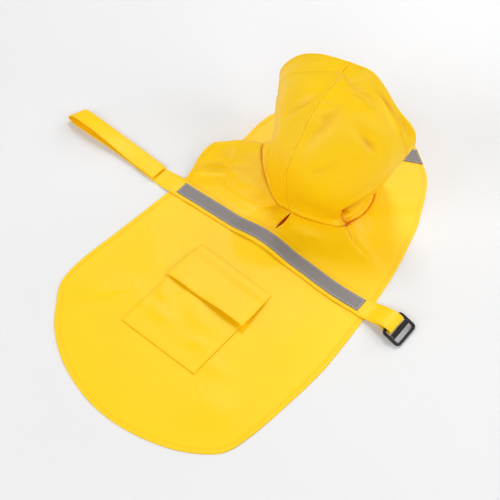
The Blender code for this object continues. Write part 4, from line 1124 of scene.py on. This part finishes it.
strap_off_coat = np.arange(len(strap_on_coat)) < np.argmax(strap_on_coat)
tail_face, tail_normals = strap_lower[strap_off_coat], -strap_normals[strap_off_coat]
strap_lines = [seam_line(face, normals, STRAP_STITCHES, edge, STRAP_SEAM_CORNERS)
               for face, normals in ((strap_upper, strap_normals), (tail_face, tail_normals))
               for edge in ("near", "far")]
strap_lines.append(seam_line(tail_face, tail_normals, STRAP_STITCHES, "start", STRAP_STITCHES))
strap_stitches = sew("back_strap_stitches", strap_lines, yellow_thread)

# %% [markdown]
# ## Reflective tape
# Reflective tape is a grey cloth with glass beads in a resin, pressed into soft ribs about a
# centimetre apart. It looks matt and slightly warm in soft light.

# %% Material and the two tapes
TAPE_GREY, TAPE_GREY_DARK, TAPE_FIBRE_MM = "847f81", "7b7678", 1.4
RIB_RADIAN_MM, WAVE_RADIANS = 1.6, 20       # the wave texture runs 20 radians in a unit


def make_reflective_tape():
    made, tree, shader, place = start_material("glass_bead_reflective_tape")
    fibre = add(tree, "ShaderNodeTexNoise",
                {"Vector": place, "Scale": per_metre(TAPE_FIBRE_MM), "Detail": 3.0})
    colour = add(tree, "ShaderNodeMix", {"Factor": fibre, "A": linear(TAPE_GREY),
                                         "B": linear(TAPE_GREY_DARK)}, data_type="RGBA")
    along = add(tree, "ShaderNodeUVMap", uv_map="cloth")
    ribs = add(tree, "ShaderNodeTexWave",
               {"Vector": along, "Scale": per_metre(RIB_RADIAN_MM) / WAVE_RADIANS},
               wave_type="BANDS", bands_direction="X")
    bump = add(tree, "ShaderNodeBump", {"Height": ribs, "Strength": 0.5, "Distance": 0.15 * MM})
    feed(tree, shader, {"Base Color": colour, "Normal": bump, "Roughness": 0.55})
    return made


reflective_tape = make_reflective_tape()
CHEST_TAPE_FAR = ((3.0, 241.0), (68.2, 278.3))
CHEST_TAPE_NEAR = ((12.0, 226.0), (88.9, 262.4))

SHEET_ROUND, SHEET_LEAST, SHEET_CLEAR = 0.7, 0.4, 0.05
Spacing = namedtuple("Spacing", "close even")   # shares close to each end, and how many between
TAPE_ALONG = Spacing([0, 0.0008, 0.0022, 0.0054, 0.0066, 0.0078], 150)
TAPE_ACROSS = Spacing([0, 0.015, 0.04, 0.085, 0.1, 0.115], 8)
CHEST_TAPE_ALONG = Spacing([0, 0.004, 0.012, 0.022, 0.027, 0.032], 40)
CHEST_TAPE_ACROSS = Spacing([0, 0.015, 0.04, 0.1, 0.118, 0.136], 8)
TAPE_STITCHES = 2.0


def edge_of(plan):
    """Distance of every place of a sheet from the nearest of its four edges."""
    return np.minimum.reduce([np.linalg.norm(plan - side, axis=2)
                              for side in (plan[:1], plan[-1:], plan[:, :1], plan[:, -1:])])


def laid_sheet(name, node, height, plan, thick, finish, stitched, inset):
    """A sheet with its underside at a height over a plan, its top and its lines of stitches."""
    base = np.concatenate([plan, (height + GAP + SHEET_CLEAR)[..., None]], -1)
    edge = edge_of(plan)
    depth = thick * rounded(edge, SHEET_ROUND, SHEET_LEAST) - groove(edge, inset) / 2
    top = base + np.array([0, 0, 1.0]) * depth[..., None]
    along = np.linalg.norm(plan - plan[:1], axis=2)
    across = np.linalg.norm(plan - plan[:, :1], axis=2)
    made = shell(name, base, top, finish, np.stack([along, across], -1) * MM)
    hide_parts(node)
    normals = normals_of(top, 1)
    normals *= np.sign(normals[..., 2:])
    lines = [seam_line(top, normals, inset, edge_name, inset) for edge_name in stitched]
    return made, top, lines


def spread(close, even):
    """Shares from 0 to 1 with extra ones close to both ends, for rounded edges."""
    return np.concatenate([close, np.linspace(close[-1], 1 - close[-1], even + 2)[1:-1],
                           1 - np.array(close[::-1])])


start, end = TAPE_ENDS
tape_x = start + (end - start) * spread(*TAPE_ALONG)
tape_share = -1 + 2 * spread(*TAPE_ACROSS)
tape_plan = np.stack(np.broadcast_arrays(
    tape_x[:, None], table_value(STRAP_LINE, tape_x)[:, None] + tape_share * TAPE_HALF), -1)
back_tape, _, back_tape_lines = laid_sheet(
    "back_reflective_tape", "tape_back", strap_top.heights(tape_plan), tape_plan,
    TAPE, reflective_tape, EDGES, TAPE_STITCHES)

far, near = np.array(CHEST_TAPE_FAR), np.array(CHEST_TAPE_NEAR)
u = spread(*CHEST_TAPE_ALONG)[:, None, None]
v = spread(*CHEST_TAPE_ACROSS)[None, :, None]
chest_plan = ((near[0] * (1 - u) + near[1] * u) * (1 - v) + (far[0] * (1 - u) + far[1] * u) * v)
chest_tape, _, chest_tape_lines = laid_sheet(
    "chest_reflective_tape", "tape_chest", coat_top.heights(chest_plan), chest_plan,
    TAPE, reflective_tape, EDGES, TAPE_STITCHES)
tape_stitches = sew("tape_stitches", back_tape_lines + chest_tape_lines, grey_thread)
print("two tapes")

# %% [markdown]
# ## The pocket
# A patch pocket lies on the lower back. Its bag is sewn on along three sides, and a flap covers
# its mouth. The flap's lower edge doesn't lie flat: it waves, and its right corner stands off.

# %% The pocket's bag and flap
LiftRow = namedtuple("LiftRow", "across height")
FLAP_EDGE = [LiftRow(-60, 1.6), LiftRow(-36, 4.2), LiftRow(-12, 2.4), LiftRow(26, 6.8),
             LiftRow(60, 5.8)]


def pocket_place(across, down, turn):
    """Plan of places on the pocket, from the middle of the flap's sewn edge."""
    across, down = np.broadcast_arrays(across, down)
    c, s = math.cos(turn), math.sin(turn)
    return np.stack([POCKET_ORIGIN[0] + c * across + s * down,
                     POCKET_ORIGIN[1] + s * across - c * down], -1)


POCKET_STITCHES, FLAP_STITCHES, POCKET_PUCKER, SEWN_REACH = 1.8, 2.0, 0.45, 6.0
BAG_SPACING = Spacing([0, 0.003, 0.008, 0.0125, 0.015, 0.0175], 64)
FLAP_DOWN = Spacing([0, 0.006, 0.016, 0.026, 0.033, 0.04], 50)
FLAP_ACROSS = Spacing([0, 0.003, 0.008, 0.014, 0.0165, 0.019], 80)
BAG_CREASES = [
    Crease(8.0, [(-50, -112, 0.4), (-44.5, -123.6, 1.8), (-36, -130, 0.5)]),
    Crease(9.0, [(-46, -140, 0.4), (-28, -148, 1.7), (-8, -146, 0.4)]),
    Crease(12, [(-8, -106, 0.4), (14, -122, 1.6), (40, -128, 0.4)]),
    Crease(4.5, [(-56, -150, 1.4), (-51, -150, 0.3)]),
    Crease(8.0, [(20, -158, 0.3), (36, -150, 1.4), (52, -148, 0.3)]),
]
bag_down = POCKET_MOUTH + (POCKET_BOTTOM - POCKET_MOUTH) * spread(*BAG_SPACING)
bag_across = POCKET_HALF * (2 * spread(*BAG_SPACING) - 1)
bag_plan = pocket_place(bag_across[None, :], bag_down[:, None], BAG_TURN)
bag_edge = edge_of(bag_plan)
bag_lift = crease_offset(bag_plan.reshape(-1, 2), BAG_CREASES).reshape(bag_edge.shape)
bag_lift = np.maximum(bag_lift, 0) * ease(bag_edge / SEWN_REACH)
bag_pucker = uneven(bag_plan[..., 0] - bag_plan[..., 1])
bag_lift += POCKET_PUCKER * bag_pucker * np.exp(-bag_edge / SEWN_REACH)
pocket_bag, bag_top_grid, bag_lines = laid_sheet(
    "pocket_bag_patch", "pocket_bag", coat_top.heights(bag_plan) + bag_lift, bag_plan,
    POCKET_CLOTH, coated_cloth, ("end", "near", "far"), POCKET_STITCHES)
bag_top = Ground(bag_top_grid)

flap_u = spread(*FLAP_DOWN)[:, None]
flap_v = spread(*FLAP_ACROSS)[None, :]
flap_down = (FLAP_DEPTH_LEFT + (FLAP_DEPTH_RIGHT - FLAP_DEPTH_LEFT) * flap_v) * flap_u
flap_across = (POCKET_HALF + FLAP_SPARE) * (2 * flap_v - 1) + FLAP_FLARE * flap_u * flap_v
flap_plan = pocket_place(flap_across, flap_down, POCKET_TURN)
over_bag = (POCKET_CLOTH + GAP + FLAP_CLIMB) * between(flap_down, FLAP_LOOSE)
flap_seat = np.maximum(coat_top.heights(flap_plan) + over_bag, bag_top.heights(flap_plan))
flap_lift = table_value(FLAP_EDGE, POCKET_HALF * (2 * flap_v[0] - 1)) * flap_u ** FLAP_LIFT_POWER
pocket_flap, _, flap_lines = laid_sheet(
    "pocket_flap_panel", "pocket_flap", flap_seat + flap_lift, flap_plan, POCKET_CLOTH,
    coated_cloth, EDGES, FLAP_STITCHES)
pocket_stitches = sew("pocket_stitches", bag_lines + flap_lines, yellow_thread)
print("pocket bag and flap")

# %% [markdown]
# ## Hook and loop tape
# Four small patches hold the fronts together and the tail's fold down. They are hidden but for
# a line between the layers, so they keep their solids and get a matt, fuzzy nylon.


# %% Material: hook and loop tape
HOOK_YELLOW, LOOP_YELLOW, FASTENER_SHADE = "e9bb18", "edc12a", "b98a06"
HOOK_MM, LOOP_MM = 1.5, 0.9


def make_fastener_nylon(name, colour, hook_mm):
    made, tree, shader, place = start_material(name)
    hooks = add(tree, "ShaderNodeTexVoronoi", {"Vector": place, "Scale": per_metre(hook_mm)})
    shade = add(tree, "ShaderNodeMix", {"Factor": hooks, "A": linear(colour),
                                        "B": linear(FASTENER_SHADE)}, data_type="RGBA")
    bump = add(tree, "ShaderNodeBump", {"Height": hooks, "Strength": 0.8, "Distance": 0.4 * MM})
    feed(tree, shader, {"Base Color": shade, "Normal": bump, "Roughness": 0.85})
    return made


hook_nylon = make_fastener_nylon("hook_tape_nylon", HOOK_YELLOW, HOOK_MM)
loop_nylon = make_fastener_nylon("loop_tape_nylon", LOOP_YELLOW, LOOP_MM)
for node_name in ("chest_hook_tape", "chest_loop_tape", "tail_hook_tape", "tail_loop_tape"):
    patch = frame["nodes"][node_name]
    patch.data.materials.clear()
    patch.data.materials.append(hook_nylon if "hook" in node_name else loop_nylon)
print("four fastener patches")

# %% [markdown]
# ## The slide buckle
# The buckle is one moulding of acetal: a frame and a middle bar.

# %% Material and form of the buckle
BUCKLE_CHARCOAL, BUCKLE_CHARCOAL_LIGHT, MOULD_GRAIN_MM = "0e0e10", "141416", 0.5


def make_acetal():
    made, tree, shader, place = start_material("moulded_acetal")
    grain = add(tree, "ShaderNodeTexNoise", {"Vector": place, "Scale": per_metre(MOULD_GRAIN_MM)})
    bump = add(tree, "ShaderNodeBump", {"Height": grain, "Strength": 0.12, "Distance": 0.1 * MM})
    tone = add(tree, "ShaderNodeMix", {"Factor": grain, "A": linear(BUCKLE_CHARCOAL),
                                       "B": linear(BUCKLE_CHARCOAL_LIGHT)}, data_type="RGBA")
    feed(tree, shader, {"Base Color": tone, "Normal": bump, "Roughness": 0.36})
    return made


moulded_acetal = make_acetal()

# %% [markdown]
# A moulding tool has no sharp corner, so the frame is one rounded section swept round a
# rectangle with round corners, and the middle bar is a second one. A Boolean joins the two, as
# they come out of one mould. The pieces lie on the buckle's own axes and are then turned to
# the angle at which the strap holds it.

# %% The buckle's piece
SECTION_ROUND, MIDDLE_ROUND, MIDDLE_THICK, MIDDLE_INSET = 1.05, 0.8, 2.7, 2.3
CORNER_STEPS, PATH_STEPS, BAR_RINGS = 5, 8, 9


def rounded_outline(half_x, half_y, corner, steps):
    """Points and outward directions round a rectangle with round corners, at the origin."""
    points, ways = [], []
    for turn, (side_x, side_y) in enumerate([(1, 1), (-1, 1), (-1, -1), (1, -1)]):
        for step in range(steps + 1):
            angle = (turn + step / steps) * math.pi / 2
            way = (math.cos(angle), math.sin(angle))
            points.append((side_x * (half_x - corner) + corner * way[0],
                           side_y * (half_y - corner) + corner * way[1]))
            ways.append(way)
    return points, ways


def buckle_part(name, rings):
    """A closed loop or bar through rings of points on the buckle's own axes."""
    count, sides = len(rings), len(rings[0])
    looped = name == "buckle_frame"
    faces = [(r * sides + k, r * sides + (k + 1) % sides, (r + 1) % count * sides + (k + 1) % sides,
              (r + 1) % count * sides + k) for r in range(count if looped else count - 1)
             for k in range(sides)]
    if not looped:
        faces += [tuple(range(sides)), tuple(range((count - 1) * sides, count * sides))]
    c, s = math.cos(BUCKLE_TILT), math.sin(BUCKLE_TILT)
    x, y, z = np.array(rings, float).reshape(-1, 3).T
    placed = np.stack([x * c + z * s, y, z * c - x * s], -1) + BUCKLE_AXIS
    return tidy_mesh(name, placed, faces)


half_length, half_width = (BUCKLE_LENGTH - BUCKLE_BAR) / 2, (BUCKLE_WIDTH - BUCKLE_BAR) / 2
section, _ = rounded_outline(BUCKLE_BAR / 2, BUCKLE_THICK / 2, SECTION_ROUND, CORNER_STEPS)
path, ways = rounded_outline(half_length, half_width, BUCKLE_CORNER, PATH_STEPS)
frame_rings = [[(half_length + x + a * way_x, y + a * way_y, b) for a, b in section]
               for (x, y), (way_x, way_y) in zip(path, ways)]
bar_from, bar_to = BUCKLE_MIDDLE_BAR
section, _ = rounded_outline((bar_to - bar_from) / 2, MIDDLE_THICK / 2, MIDDLE_ROUND, CORNER_STEPS)
bar_end = BUCKLE_WIDTH / 2 - MIDDLE_INSET
bar_rings = [[((bar_from + bar_to) / 2 + a, y, b) for a, b in section]
             for y in np.linspace(-bar_end, bar_end, BAR_RINGS)]
buckle = add_piece("slide_buckle_moulding", buckle_part("buckle_frame", frame_rings), moulded_acetal,
                   "slide_buckle")
combine(buckle, buckle_part("middle_bar", bar_rings), "UNION")
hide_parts("buckle")
print("buckle:", len(buckle.data.polygons), "faces")

# %% [markdown]
# ## Sheets of cloth
# Each panel was cut flat. These lines print the area of each piece of cloth.

# %% Cuts
def cloth_area(piece):
    """Area of one face of a thin piece in square metres."""
    return sum(face.area for face in piece.data.polygons) / 2


for piece in (coat_body, hood_right, hood_left, strap, back_tape, chest_tape, pocket_bag, pocket_flap,
              *slit_strips):
    print(piece.name, "covers", round(cloth_area(piece), 5), "square metres")
CutRow = namedtuple("CutRow", "piece width length area held rests_on goes_with")

# %% [markdown]
# ## The last step

# %% Bring the scene up to date
bpy.context.view_layer.update()
